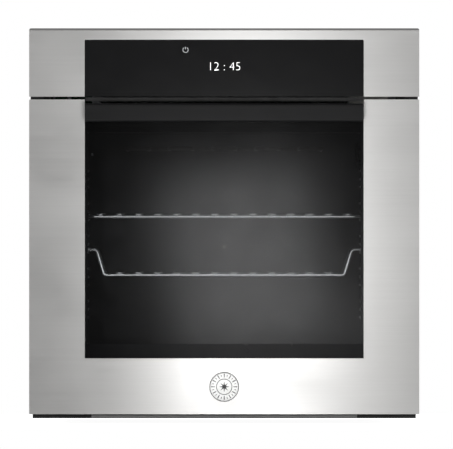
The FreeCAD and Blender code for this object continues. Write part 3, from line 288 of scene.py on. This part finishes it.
def bare_metal(name, dark, light, low, high, stretch, metallic=1.0):
    """Plain metal with stains and with fine lines along the axis of its smallest scale."""
    metal = Surface(name, light, low, metallic)
    lines = metal.grain(stretch, 4)
    stains = metal.grain((35, 35, 35), 5, 0.6)
    value = metal.weighed(lines, stains, 0.5)
    metal.tint(metal.spread(value, 0, 1, 0.35, 0.65), dark, light)
    metal.rough(metal.spread(value, low, high))
    metal.bump(lines, 0.00004, 0.25)
    return metal.material


def mineral_wool():
    """Felted fibres in a warm yellow-grey."""
    wool = Surface("mineral_wool", (0.72, 0.66, 0.48), 0.95, Sheen_Weight=0.3)
    along = wool.grain((30, 700, 500), 5, 1.5)
    across = wool.grain((600, 40, 420), 5, 1.5)
    fibres = wool.combine("MULTIPLY", along, across)
    clumps = wool.grain((28, 28, 28), 4)
    base = wool.mixed(wool.spread(clumps, 0, 1), (0.60, 0.53, 0.36), (0.78, 0.73, 0.56))
    wool.tint(wool.spread(fibres, 0.5, 0, 0.12, 0.3), base, (0.42, 0.36, 0.24))
    wool.rough(wool.spread(fibres, 0.85, 1, 0.1, 0.4))
    wool.bump(fibres, 0.002, 0.8)
    wool.bump(clumps, 0.006, 0.5)
    return wool.material


def braided_seal():
    """A silicone-filled glass-fibre braid: slanting ribs with a fine weave."""
    seal = Surface("braided_seal", (0.05, 0.05, 0.05), 0.7)
    ribs = seal.bands(260, "DIAGONAL", 0.4)
    weave = seal.grain((900, 900, 900), 2)
    seal.tint(ribs, (0.03, 0.03, 0.03), (0.085, 0.083, 0.08))
    seal.rough(seal.spread(weave, 0.6, 0.85))
    seal.bump(ribs, 0.0006, 0.7)
    seal.bump(weave, 0.0001, 0.3)
    return seal.material


def circuit_board():
    """Green lacquer over raised tracks, with pale solder points."""
    board = Surface("circuit_board", (0.02, 0.16, 0.07), 0.35)
    tracks = board.cells((160, 160, 160), "Distance", "DISTANCE_TO_EDGE")
    base = board.mixed(board.spread(tracks, 1, 0, 0.05, 0.1), (0.012, 0.11, 0.045), (0.05, 0.24, 0.10))
    board.tint(board.spread(board.cells((90, 90, 90)), 0.8, 0, 0.1, 0.14), base, (0.62, 0.58, 0.42))
    board.rough(board.spread(board.grain((40, 40, 40), 3), 0.3, 0.45))
    board.bump(tracks, 0.0002, 0.3)
    return board.material


def glowing(name, colour, strength):
    """Lit segments of the display, a little uneven as the light guide leaves them."""
    light = Surface(name, colour, 0.5)
    light.shader.inputs["Emission Color"].default_value = (*colour, 1)
    light.link(light.spread(light.grain((300, 300, 300), 2), 0.85 * strength, strength),
               light.shader.inputs["Emission Strength"])
    return light.material


def medal_metal():
    """Pale satin plate with a very fine sandblast."""
    metal = Surface("medal_metal", (0.95, 0.95, 0.94), 0.4, 0.7)
    sand = metal.grain((1600, 1600, 1600), 2)
    metal.tint(metal.spread(sand, 0, 1), (0.93, 0.93, 0.92), (0.98, 0.98, 0.97))
    metal.rough(metal.spread(metal.grain((90, 90, 90), 3), 0.36, 0.46))
    metal.bump(sand, 0.00002, 0.3)
    return metal.material


def inlay_lacquer():
    """Dark lacquer that fills the engraved lines."""
    lacquer = Surface("inlay_lacquer", (0.03, 0.03, 0.032), 0.3)
    cloud = lacquer.grain((300, 300, 300), 4)
    lacquer.tint(lacquer.spread(cloud, 0, 1), (0.022, 0.022, 0.024), (0.055, 0.055, 0.058))
    lacquer.rough(lacquer.spread(cloud, 0.25, 0.4))
    lacquer.bump(cloud, 0.00003, 0.3)
    return lacquer.material


FINISHES = {
    "front_steel": brushed_steel(),
    "black_glass": black_glass(),
    "window_glass": pane("window_glass", (0.63, 0.63, 0.64), (0.61, 0.61, 0.62), 0.15, 0.19, 1.236),
    "clear_glass": pane("clear_glass", (0.965, 0.975, 0.97), (0.955, 0.965, 0.96), 0.04, 0.08, 1.03),
    "handle_black": satin_black(),
    "trim_black": moulded("trim_plastic", (0.006, 0.006, 0.0065), (0.011, 0.011, 0.0115)),
    "enamel": enamel("cavity_enamel", (0.012, 0.012, 0.014), (0.018, 0.018, 0.021), 0.38, 0.5, 300),
    "frame_enamel": enamel("frame_enamel", (0.012, 0.012, 0.014), (0.018, 0.018, 0.02), 0.3, 0.45, 220),
    "galvanised": galvanised(),
    "wool": mineral_wool(),
    "chrome_wire": bare_metal("chrome_wire", (0.84, 0.84, 0.85), (0.93, 0.93, 0.94), 0.28, 0.42,
                              (80, 80, 80)),
    "element_steel": bare_metal("heated_tube", (0.07, 0.06, 0.055), (0.17, 0.15, 0.14), 0.4, 0.62,
                                (120, 120, 120), 0.7),
    "badge_metal": medal_metal(),
    "seal_rubber": braided_seal(),
    "ceramic_white": moulded("steatite", (0.74, 0.71, 0.65), (0.86, 0.84, 0.80), 0.45, 0.7, 900),
    "lamp_clear": pane("lamp_glass", (0.95, 0.95, 0.93), (0.92, 0.92, 0.89), 0.02, 0.06, 1.5),
    "lamp_bulb": moulded("frosted_bulb", (0.72, 0.70, 0.64), (0.82, 0.80, 0.74), 0.3, 0.45, 2200),
    "motor_steel": bare_metal("motor_shell", (0.20, 0.21, 0.22), (0.36, 0.37, 0.38), 0.36, 0.55,
                              (40, 900, 900), 0.8),
    "hinge_steel": bare_metal("zinc_plate", (0.42, 0.43, 0.45), (0.60, 0.61, 0.63), 0.28, 0.45,
                              (700, 60, 60)),
    "circuit_board": circuit_board(),
    "display_dark": moulded("display_lens", (0.004, 0.004, 0.005), (0.007, 0.007, 0.008), 0.1, 0.2, 2600),
    # Painted shade: the fan wheel's alloy is coloured near black for the shade behind the fan cover.
    "fan_alloy": bare_metal("rolled_alloy_painted_shade", (0.035, 0.035, 0.036), (0.06, 0.06, 0.06), 0.5, 0.65,
                            (50, 700, 50)),
    "fixing_zinc": bare_metal("passivated_zinc", (0.50, 0.47, 0.38), (0.70, 0.67, 0.56), 0.28, 0.42,
                              (500, 500, 90)),
    "duct_plastic": moulded("duct_plastic", (0.04, 0.04, 0.043), (0.07, 0.07, 0.074), 0.4, 0.55),
}

# Finishes that only a piece of this script has.
INLAY = inlay_lacquer()
BAND = moulded("band_print", (0.0025, 0.0025, 0.003), (0.0035, 0.0035, 0.004), 0.15, 0.19, 2600, 0.1)
DIGITS = glowing("display_light", (1.0, 1.0, 1.0), 1.15)
# Painted shade: the lower strip's steel is coloured a dull dark grey for the shade under the overhanging
# door.
SHADED_STRIP = bare_metal("strip_steel_painted_shade", (0.30, 0.30, 0.30), (0.38, 0.38, 0.38), 0.45, 0.55, (20, 900, 900), 0.3)
KEY_MARK = glowing("key_light", (0.8, 0.82, 0.85), 0.55)

for part in frame["record"]["subparts"]:
    node = frame["nodes"][part["node"]]
    for place in node.material_slots:
        place.material = FINISHES[part["material_slot"]]


# ---------------------------------------------------------------- pieces

def add_piece(name, shape, slot, body, finish=None, replaces=()):
    """A bmesh becomes a piece that rides on a body, in the finish of its slot unless another is given."""
    mesh = bpy.data.meshes.new(name)
    shape.to_mesh(mesh)
    shape.free()
    mesh.materials.append(finish or FINISHES[slot])
    item = bpy.data.objects.new(name, mesh)
    bpy.context.scene.collection.objects.link(item)
    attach(item, body)
    if replaces:
        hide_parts(*replaces)
    return item


def shade_smooth(item, angle=35):
    """Smooth shading, with edges sharper than an angle kept crisp."""
    for face in item.data.polygons:
        face.use_smooth = True
    item.data.set_sharp_from_angle(angle=math.radians(angle))


def ramp(value, low, high, width):
    """0 outside low to high, 1 well inside, with soft flanks of a width."""
    rise = min(max((value - low) / width, 0), 1)
    fall = min(max((high - value) / width, 0), 1)
    share = min(rise, fall)
    return share * share * (3 - 2 * share)


def grid_lines(low, high, stops):
    """Sorted grid lines from low to high: the ends, the stops, and one every few centimetres."""
    step = 30 * MM
    values = [low, high] + [stop for stop in stops if low < stop < high]
    spare = [low + i * step for i in range(1, int((high - low) / step))]
    values += [value for value in spare if all(abs(value - other) > step / 3 for other in values)]
    return sorted(set(round(value, 6) for value in values))


# The casing's sheets: thickness, the soft flank of a pressed field, the fold along a side panel's
# top edge, and the air slots.
SHEET = 1.2 * MM
FLANK = 6 * MM
FLANK_STEPS = 5
LIP = 11.8 * MM
VENT_PITCH = 16 * MM
VENT_WIDTH = 6 * MM


def vents(first, count, across, step=VENT_PITCH):
    """A row of air slots from a first edge. Each is its span along the row and its span across."""
    return [((first + i * step, first + i * step + VENT_WIDTH), across) for i in range(count)]


def pressed_sheet(u_span, v_span, slots, fields, depth, point, folds=()):
    """A sheet with slots cut out and soft-edged fields pressed in. point(u, v, w) gives a place in space."""
    stops_u = [edge for slot in slots for edge in slot[0]]
    stops_v = [edge for slot in slots for edge in slot[1]] + list(folds)
    for field_u, field_v in fields:
        for i in range(FLANK_STEPS + 1):
            offset = FLANK * i / FLANK_STEPS
            stops_u += [field_u[0] + offset, field_u[1] - offset]
            stops_v += [field_v[0] + offset, field_v[1] - offset]
    lines_u = grid_lines(*u_span, stops_u)
    lines_v = grid_lines(*v_span, stops_v)
    shape = bmesh.new()

    def pressed(u, v):
        return depth * max([ramp(u, *field_u, FLANK) * ramp(v, *field_v, FLANK)
                            for field_u, field_v in fields], default=0)

    corners = [[shape.verts.new(point(u, v, pressed(u, v))) for v in lines_v] for u in lines_u]
    for i in range(len(lines_u) - 1):
        for j in range(len(lines_v) - 1):
            u, v = (lines_u[i] + lines_u[i + 1]) / 2, (lines_v[j] + lines_v[j + 1]) / 2
            if any(a[0] < u < a[1] and b[0] < v < b[1] for a, b in slots):
                continue
            shape.faces.new((corners[i][j], corners[i + 1][j], corners[i + 1][j + 1], corners[i][j + 1]))
    bmesh.ops.delete(shape, geom=[v for v in shape.verts if not v.link_faces], context="VERTS")
    return shape


def sheet_piece(name, shape, node, outward):
    """Give a pressed sheet its thickness behind its outer face, and softened cut edges."""
    bmesh.ops.recalc_face_normals(shape, faces=shape.faces)
    shape.faces.ensure_lookup_table()
    if shape.faces[0].normal.dot(Vector(outward)) < 0:
        bmesh.ops.reverse_faces(shape, faces=shape.faces)
    item = add_piece(name, shape, "galvanised", "chassis", replaces=(node,))
    skin = item.modifiers.new("Sheet", "SOLIDIFY")
    skin.thickness = SHEET
    skin.offset = -1
    soft = item.modifiers.new("Edges", "BEVEL")
    soft.width = 0.25 * MM
    soft.limit_method = "ANGLE"
    soft.angle_limit = math.radians(50)
    shade_smooth(item)


SIDES = ((1, "right"), (-1, "left"))


def side_panels():
    """Each side panel with its air slots and two tall fields pressed inwards."""
    field_heights, rib = (0.07, 0.44), 0.04
    for side, name in SIDES:
        node = f"side_panel_{name}"
        low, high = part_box(node)
        slots = vents(high.y - 58 * MM, 8, (0.490, 0.555), -VENT_PITCH)
        front, back = low.y + 0.035, high.y - 0.05
        middle = (front + back) / 2
        fields = [((front, middle - rib / 2), field_heights), ((middle + rib / 2, back), field_heights)]
        outer = high.x if side > 0 else -low.x

        def point(u, v, w):
            folded = max(v - high.z, 0)
            return Vector((side * (outer - w - folded), u, min(v, high.z)))

        shape = pressed_sheet((low.y, high.y), (low.z, high.z + LIP), slots, fields, 3 * MM, point, (high.z,))
        sheet_piece(f"side_sheet_{name}", shape, node, (side, 0, 0))


def top_sheet():
    """The lid with its row of slots and two fields pressed down."""
    low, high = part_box("top_cover")
    rear = cad_high.y - 2 * MM
    count = 17
    row_start = -((count - 1) * VENT_PITCH + VENT_WIDTH) / 2
    slots = vents(row_start, count, (rear - 0.168, rear - 0.108))
    margin, rib, field_depths = 0.02, 0.03, (low.y + 0.03, rear - 0.2)
    fields = [((low.x + margin, -rib / 2), field_depths), ((rib / 2, high.x - margin), field_depths)]
    shape = pressed_sheet((low.x, high.x), (low.y, high.y), slots, fields, 2.2 * MM,
                          lambda u, v, w: Vector((u, v, high.z - w)))
    sheet_piece("top_sheet", shape, "top_cover", (0, 0, 1))


def rear_sheet():
    """The back plate with its slots, the cable opening and two wide pressed fields."""
    low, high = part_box("rear_cover")
    gland_low, gland_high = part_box("cable_inlet")
    gland, opening = (gland_low + gland_high) / 2, 9 * MM
    slot_low = (low.z + high.z) / 2 + 0.190
    slots = vents(-0.155, 20, (slot_low, slot_low + 0.06))
    slots.append(tuple((middle - opening, middle + opening) for middle in (gland.x, gland.z)))
    width = (-0.23, 0.23)
    fields = [(width, (0.075, 0.265)), (width, (0.315, 0.45))]
    shape = pressed_sheet((low.x, high.x), (low.z, high.z), slots, fields, 3 * MM,
                          lambda u, v, w: Vector((u, high.y - w, v)))
    sheet_piece("rear_sheet", shape, "rear_cover", (0, 1, 0))


def turned(profile, steps):
    """Spin a closed profile of (radius, height) points about Z."""
    shape = bmesh.new()
    rings = []
    for radius, height in profile:
        if radius == 0:
            rings.append([shape.verts.new((0, 0, height))])
            continue
        rings.append([shape.verts.new((radius * math.cos(2 * math.pi * i / steps),
                                       radius * math.sin(2 * math.pi * i / steps), height))
                      for i in range(steps)])
    for one, other in zip(rings, rings[1:] + rings[:1]):
        for i in range(steps):
            j = (i + 1) % steps
            corners = [one[i % len(one)], one[j % len(one)], other[j % len(other)], other[i % len(other)]]
            unique = [corner for k, corner in enumerate(corners) if corner not in corners[:k]]
            if len(unique) > 2:
                shape.faces.new(unique)
    bmesh.ops.recalc_face_normals(shape, faces=shape.faces)
    return shape


def moved(shape, turn, place):
    """Turn a shape about the origin and put it in its place."""
    bmesh.ops.transform(shape, matrix=Matrix.Translation(place) @ turn.to_4x4(), verts=shape.verts)
    return shape


TO_FRONT = Matrix.Rotation(math.radians(90), 3, "X")
TO_BACK = Matrix.Rotation(math.radians(-90), 3, "X")


def prism(outline, bottom, top):
    """A flat outline of (x, y) points raised from bottom to top."""
    shape = bmesh.new()
    lower = [shape.verts.new((x, y, bottom)) for x, y in outline]
    upper = [shape.verts.new((x, y, top)) for x, y in outline]
    shape.faces.new(lower[::-1])
    shape.faces.new(upper)
    for i in range(len(outline)):
        j = (i + 1) % len(outline)
        shape.faces.new((lower[i], lower[j], upper[j], upper[i]))
    bmesh.ops.recalc_face_normals(shape, faces=shape.faces)
    return shape


def joined(shapes):
    """Several bmeshes as one."""
    whole = bmesh.new()
    for shape in shapes:
        mesh = bpy.data.meshes.new("part")
        shape.to_mesh(mesh)
        shape.free()
        whole.from_mesh(mesh)
        bpy.data.meshes.remove(mesh)
    return whole


def badge():
    """A generic round medal: a pale plate, with lacquered rings, rays and a star let into it."""
    low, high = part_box("badge")
    centre = Vector(((low.x + high.x) / 2, high.y, (low.z + high.z) / 2))
    radius = (high.x - low.x) / 2
    rise = high.y - low.y
    steps = 96
    plate = turned([(0, 0), (radius, 0), (radius, 0.6 * rise), (0.985 * radius, 0.85 * rise),
                    (0.96 * radius, 0.95 * rise), (0.93 * radius, 0.9 * rise), (0.90 * radius, 0.7 * rise),
                    (0.55 * radius, 0.7 * rise), (0.52 * radius, 0.85 * rise), (0.49 * radius, 0.7 * rise),
                    (0, 0.78 * rise)], steps)
    medal = add_piece("badge_medal", moved(plate, TO_FRONT, centre), "badge_metal", "door",
                      replaces=("badge",))
    shade_smooth(medal, 8)
    base, top = 0.6 * rise, 0.98 * rise
    rings = []
    for inner, outer in ((0.95 * radius, 0.99 * radius), (0.50 * radius, 0.535 * radius)):
        rings.append(turned([(inner, base), (outer, base), (outer, top), (inner, top)], steps))
    rays = []
    count = 24
    for i in range(count):
        long_ray = i % 2 == 0
        shares = (0.62, 0.88, 0.020) if long_ray else (0.70, 0.82, 0.014)
        inner, outer, half = [share * radius for share in shares]
        ray = prism([(inner, -half), (outer, -1.6 * half), (outer, 1.6 * half), (inner, half)],
                    base, 0.9 * rise)
        bmesh.ops.rotate(ray, matrix=Matrix.Rotation(2 * math.pi * i / count, 3, "Z"), verts=ray.verts)
        rays.append(ray)
    tips = 8
    outline = []
    for i in range(2 * tips):
        reach = (0.36 if i % 2 == 0 else 0.12) * radius
        angle = math.pi * i / tips + math.pi / 2
        outline.append((reach * math.cos(angle), reach * math.sin(angle)))
    star = prism(outline, base, 0.95 * rise)
    inlay = moved(joined(rings + rays + [star]), TO_FRONT, centre)
    add_piece("badge_inlay", inlay, "badge_metal", "door", INLAY)


def clock():
    """The time on the display: thin digits just in front of the glass."""
    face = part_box("control_glass")[0].y
    centre, baseline = 1.5 * MM, 531.6 * MM
    text = bpy.data.curves.new("clock_text", "FONT")
    text.body = "12 : 45"
    text.size = 18.6 * MM
    text.offset = -0.42 * MM
    text.extrude = 0.03 * MM
    text.align_x = "CENTER"
    text.resolution_u = 6
    holder = bpy.data.objects.new("clock_text", text)
    mesh = bpy.data.meshes.new_from_object(holder)
    bpy.data.objects.remove(holder)
    shape = bmesh.new()
    shape.from_mesh(mesh)
    bpy.data.meshes.remove(mesh)
    across = [vert.co.x for vert in shape.verts]
    middle = (min(across) + max(across)) / 2
    place = Vector((centre - middle, face - 0.05 * MM, baseline))
    add_piece("clock_digits", moved(shape, TO_FRONT, place), "display_dark", "chassis", DIGITS)


def power_mark():
    """The plain on-off sign on the touch glass: a broken ring and a short stroke."""
    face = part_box("control_glass")[0].y
    shape = bmesh.new()
    inner, outer, thick, steps = 3.75 * MM, 4.3 * MM, 0.06 * MM, 40
    gap = math.radians(32)
    rows = []
    for i in range(steps + 1):
        angle = math.pi / 2 + gap + (2 * math.pi - 2 * gap) * i / steps
        rows.append([shape.verts.new((reach * math.cos(angle), reach * math.sin(angle), height))
                     for reach, height in ((inner, 0), (outer, 0), (outer, thick), (inner, thick))])
    for one, other in zip(rows, rows[1:]):
        for k in range(4):
            shape.faces.new((one[k], one[(k + 1) % 4], other[(k + 1) % 4], other[k]))
    shape.faces.new(rows[0])
    shape.faces.new(rows[-1][::-1])
    half, low, high = 0.28 * MM, 0.8 * MM, 4.9 * MM
    stroke = prism([(-half, low), (half, low), (half, high), (-half, high)], 0, thick)
    mark = joined([shape, stroke])
    bmesh.ops.recalc_face_normals(mark, faces=mark.faces)
    place = Vector((-59.1 * MM, face - 0.02 * MM, 563 * MM))
    add_piece("power_mark", moved(mark, TO_FRONT, place), "display_dark", "chassis", KEY_MARK)


def lower_strip():
    """The steel strip clipped to the middle of the lower trim, with rolled edges. Its steel is coloured a
    dull dark grey as painted shade from the door above it.
    """
    half, front = 0.203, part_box("lower_trim")[0].y
    profile = [(0, 0.5), (-0.5, 0.9), (-0.8, 1.6), (-0.8, 4.6), (-0.5, 5.3), (0, 5.7)]
    shape = bmesh.new()
    ends = [[shape.verts.new((x, front + y * MM, z * MM)) for y, z in profile] for x in (-half, half)]
    for i in range(len(profile)):
        j = (i + 1) % len(profile)
        shape.faces.new((ends[0][i], ends[0][j], ends[1][j], ends[1][i]))
    shape.faces.new(ends[0])
    shape.faces.new(ends[1][::-1])
    bmesh.ops.recalc_face_normals(shape, faces=shape.faces)
    add_piece("lower_trim_strip", shape, "front_steel", "chassis", SHADED_STRIP)


def duct_ends():
    """Sheets that close the rear end of the air duct on both sides of the blower."""
    low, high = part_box("air_duct")
    housing_low, housing_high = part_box("blower_housing")
    wall, inside, thick = 1.6 * MM, high.y - 3 * MM, 1 * MM
    sheets = []
    for x0, x1 in ((low.x + wall, housing_low.x), (housing_high.x, high.x - wall)):
        sheet = bmesh.new()
        place = Vector(((x0 + x1) / 2, inside, (low.z + high.z) / 2))
        size = Matrix.Diagonal((x1 - x0, thick, high.z - low.z - 2 * wall, 1))
        bmesh.ops.create_cube(sheet, size=1, matrix=Matrix.Translation(place) @ size)
        sheets.append(sheet)
    add_piece("duct_ends", joined(sheets), "galvanised", "chassis")


def window_print():
    """The black border baked on the back of the window, with a satin band along the bottom of its face."""
    low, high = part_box("outer_glass")
    edge, band = 4.4 * MM, 22 * MM
    back, thick = high.y + 0.05 * MM, 0.1 * MM
    outer = (low.x, high.x, low.z, high.z)
    inner = (low.x + edge, high.x - edge, low.z + band, high.z - edge)
    shape = bmesh.new()
    loops = []
    for x0, x1, z0, z1 in (outer, inner):
        for y in (back, back + thick):
            loops.append([shape.verts.new((x, y, z)) for x, z in ((x0, z0), (x1, z0), (x1, z1), (x0, z1))])
    front_outer, back_outer, front_inner, back_inner = loops
    for one, other in ((front_outer, front_inner), (back_outer, back_inner),
                       (front_outer, back_outer), (front_inner, back_inner)):
        for i in range(4):
            j = (i + 1) % 4
            shape.faces.new((one[i], one[j], other[j], other[i]))
    bmesh.ops.recalc_face_normals(shape, faces=shape.faces)
    add_piece("window_print", shape, "black_glass", "door")
    film = [(low.x, low.z), (high.x, low.z), (high.x, low.z + band), (low.x, low.z + band)]
    strip = prism([(x, -z) for x, z in film], -0.06 * MM, -0.01 * MM)
    add_piece("window_band", moved(strip, TO_BACK, Vector((0, low.y, 0))), "black_glass", "door", BAND)


def cross_screw(radius, height):
    """A pan head with a cross recess, standing on Z = 0."""
    head = turned([(0, 0), (radius, 0), (radius, 0.35 * height), (0.93 * radius, 0.62 * height),
                   (0.75 * radius, 0.85 * height), (0.45 * radius, 0.97 * height), (0, height)], 32)
    mesh = bpy.data.meshes.new("head")
    head.to_mesh(mesh)
    head.free()
    blank = bpy.data.objects.new("head", mesh)
    long, short, deep = 0.52 * radius, 0.12 * radius, 0.45 * height
    cutters = []
    for a, b in ((long, short), (short, long)):
        arm = prism([(-a, -b), (a, -b), (a, b), (-a, b)], deep, 2 * height)
        arm_mesh = bpy.data.meshes.new("recess")
        arm.to_mesh(arm_mesh)
        arm.free()
        cutters.append(bpy.data.objects.new("recess", arm_mesh))
    for item in [blank] + cutters:
        bpy.context.scene.collection.objects.link(item)
    for cutter in cutters:
        carve = blank.modifiers.new("Carve", "BOOLEAN")
        carve.operation = "DIFFERENCE"
        carve.object = cutter
    seen = blank.evaluated_get(bpy.context.evaluated_depsgraph_get())
    carved = bpy.data.meshes.new_from_object(seen)
    for item in [blank] + cutters:
        bpy.data.objects.remove(item)
    return carved


def screws(name, radius, height, places, turn, replaces=()):
    """The same screw at several places."""
    head = cross_screw(radius, height)
    whole = bmesh.new()
    for i, place in enumerate(places):
        start = len(whole.verts)
        whole.from_mesh(head)
        whole.verts.ensure_lookup_table()
        fresh = whole.verts[start:]
        spin = turn @ Matrix.Rotation(math.radians(37 * i), 3, "Z")
        bmesh.ops.transform(whole, matrix=Matrix.Translation(place) @ spin.to_4x4(), verts=fresh)
    item = add_piece(name, whole, "fixing_zinc", "chassis", replaces=replaces)
    shade_smooth(item, 40)


def casing_screws():
    """Screws on the back plate where the CAD has them, and along the edges of the side panels."""
    low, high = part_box("casing_screws")
    inset = 4 * MM
    heights = (low.z + inset, (low.z + high.z) / 2, high.z - inset)
    places = [Vector((x, cad_high.y - 2 * MM, z)) for x in (low.x + inset, high.x - inset) for z in heights]
    screws("rear_screws", 4 * MM, 1.9 * MM, places, TO_BACK, ("casing_screws",))
    for side, name in SIDES:
        low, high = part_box(f"side_panel_{name}")
        outer = high.x if side > 0 else low.x
        places = [Vector((outer, y, z)) for y in (low.y + 0.012, high.y - 0.014) for z in (0.03, 0.28, 0.53)]
        turn = Matrix.Rotation(math.radians(90 * side), 3, "Y")
        screws(f"side_screws_{name}", 3.6 * MM, 1.8 * MM, places, turn)


side_panels()
top_sheet()
rear_sheet()
badge()
clock()
power_mark()
lower_strip()
duct_ends()
window_print()
casing_screws()

# ---------------------------------------------------------------- studio

# The camera looks along +Y, from so far that depth hardly shows. FRAME_WIDTH is what the picture
# takes in at the face of the door.
FACE_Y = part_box("door_outer_frame")[0].y
CAMERA_REACH = 24
CAMERA_X = 0.0035
CAMERA_HEIGHT = 0.2962
FRAME_WIDTH = 0.692
SENSOR = 36

# The open door's face comes a little lower than the oven's underside, so the floor lies below both.
FLOOR_RADIUS = 0.95
FLOOR_DROP = 8 * MM

# The front softboxes stand in a plane between the camera and the face.
LAMP_Y = -1.4726


def studio_floor():
    """A wide pale disc that looks plain white to the camera."""
    shape = bmesh.new()
    bmesh.ops.create_circle(shape, cap_ends=True, segments=96, radius=FLOOR_RADIUS)
    mesh = bpy.data.meshes.new("floor")
    shape.to_mesh(mesh)
    shape.free()
    paper = Surface("studio_paper", (0.88, 0.88, 0.88), 0.85)
    paper.rough(paper.spread(paper.grain((40, 40, 40), 4), 0.8, 0.95))
    paper.tint(paper.spread(paper.grain((3, 3, 3), 3), 0, 1), (0.87, 0.87, 0.87), (0.89, 0.89, 0.89))
    paper.shader.inputs["Emission Color"].default_value = (1, 1, 1, 1)
    path = paper.add("ShaderNodeLightPath")
    glow = paper.combine("MULTIPLY", path.outputs["Is Camera Ray"], 0.95)
    paper.link(glow, paper.shader.inputs["Emission Strength"])
    mesh.materials.append(paper.material)
    floor = bpy.data.objects.new("floor", mesh)
    floor.location.z = cad_low.z - FLOOR_DROP
    bpy.context.scene.collection.objects.link(floor)


def studio_world():
    """White to the camera. For light: a dark patch straight ahead of the face, dimmer overhead."""
    world = bpy.data.worlds.new("studio")
    bpy.context.scene.world = world
    world.use_nodes = True
    tree = world.node_tree
    tree.nodes.clear()
    direction = tree.nodes.new("ShaderNodeTexCoord")
    parts = tree.nodes.new("ShaderNodeSeparateXYZ")
    tree.links.new(direction.outputs["Generated"], parts.inputs["Vector"])

    def spread(axis, *numbers):
        """From two places along an axis to two levels of light."""
        node = tree.nodes.new("ShaderNodeMapRange")
        for socket, number in zip(("From Min", "From Max", "To Min", "To Max"), numbers):
            node.inputs[socket].default_value = number
        tree.links.new(parts.outputs[axis], node.inputs["Value"])
        return node.outputs["Result"]

    def times(first, second):
        node = tree.nodes.new("ShaderNodeMath")
        node.operation = "MULTIPLY"
        tree.links.new(first, node.inputs[0])
        tree.links.new(second, node.inputs[1])
        return node.outputs["Value"]

    level = times(times(spread("Z", 0.0, 0.9, 0.89, 0.22), spread("X", -1.0, 1.0, 1.06, 1.03)),
                  spread("Y", -0.995, -0.96, 0.12, 1.0))
    soft = tree.nodes.new("ShaderNodeBackground")
    tree.links.new(level, soft.inputs["Strength"])
    white = tree.nodes.new("ShaderNodeBackground")
    path = tree.nodes.new("ShaderNodeLightPath")
    both = tree.nodes.new("ShaderNodeMixShader")
    for background in (soft, white):
        background.inputs["Color"].default_value = (1, 1, 1, 1)
    tree.links.new(path.outputs["Is Camera Ray"], both.inputs["Fac"])
    tree.links.new(soft.outputs["Background"], both.inputs[1])
    tree.links.new(white.outputs["Background"], both.inputs[2])
    output = tree.nodes.new("ShaderNodeOutputWorld")
    tree.links.new(both.outputs["Shader"], output.inputs["Surface"])


def softbox(name, place, target, width, height, power, lean=0):
    """An area lamp that the camera doesn't see, turned about its own axis by a lean in degrees."""
    lamp = bpy.data.lights.new(name, "AREA")
    lamp.shape = "RECTANGLE"
    lamp.size = width
    lamp.size_y = height
    lamp.energy = power
    item = bpy.data.objects.new(name, lamp)
    item.location = place
    item.rotation_euler = (Vector(target) - Vector(place)).to_track_quat("-Z", "Y").to_euler()
    item.rotation_euler.rotate_axis("Z", math.radians(lean))
    item.visible_camera = False
    bpy.context.scene.collection.objects.link(item)


def studio_lights():
    """Two softboxes in front of the face, two wide ones behind the oven, and one for each shelf."""
    softbox("key", (0.0324, LAMP_Y, 0.241), (0.0324, 0, 0.241), 0.2227, 0.2783, 1.76, 8)
    softbox("low_key", (0.16, LAMP_Y, 0.1388), (0.16, 0, 0.1388), 0.3, 0.0835, 0.26)
    rear_target = (0, 0.3, 0.3)
    softbox("rear_left", (-3.4, 3.0, 1.8), rear_target, 2.2, 2.2, 26)
    softbox("rear_right", (3.4, 2.6, 1.8), rear_target, 2.0, 2.0, 30)
    low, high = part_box("cavity_shell")
    near = low.y + 3 * MM
    for shelf, tall, power in (("upper_shelf", 0.02, 0.045), ("lower_shelf", 0.055, 0.12)):
        shelf_low, shelf_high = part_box(shelf)
        level = (shelf_low.z + shelf_high.z) / 2
        softbox(f"{shelf}_glow", (0, near, level), (0, high.y, level), 0.4, tall, power)


def studio_camera():
    """Square on to the front, a long lens at the height of the middle of the door."""
    lens = bpy.data.cameras.new("camera")
    lens.sensor_width = SENSOR
    lens.lens = SENSOR * CAMERA_REACH / FRAME_WIDTH
    camera = bpy.data.objects.new("camera", lens)
    camera.location = (CAMERA_X, FACE_Y - CAMERA_REACH, CAMERA_HEIGHT)
    camera.rotation_euler = (math.radians(90), 0, 0)
    bpy.context.scene.collection.objects.link(camera)
    bpy.context.scene.camera = camera


studio_floor()
studio_world()
studio_lights()
studio_camera()
bpy.context.scene.view_settings.view_transform = "Standard"
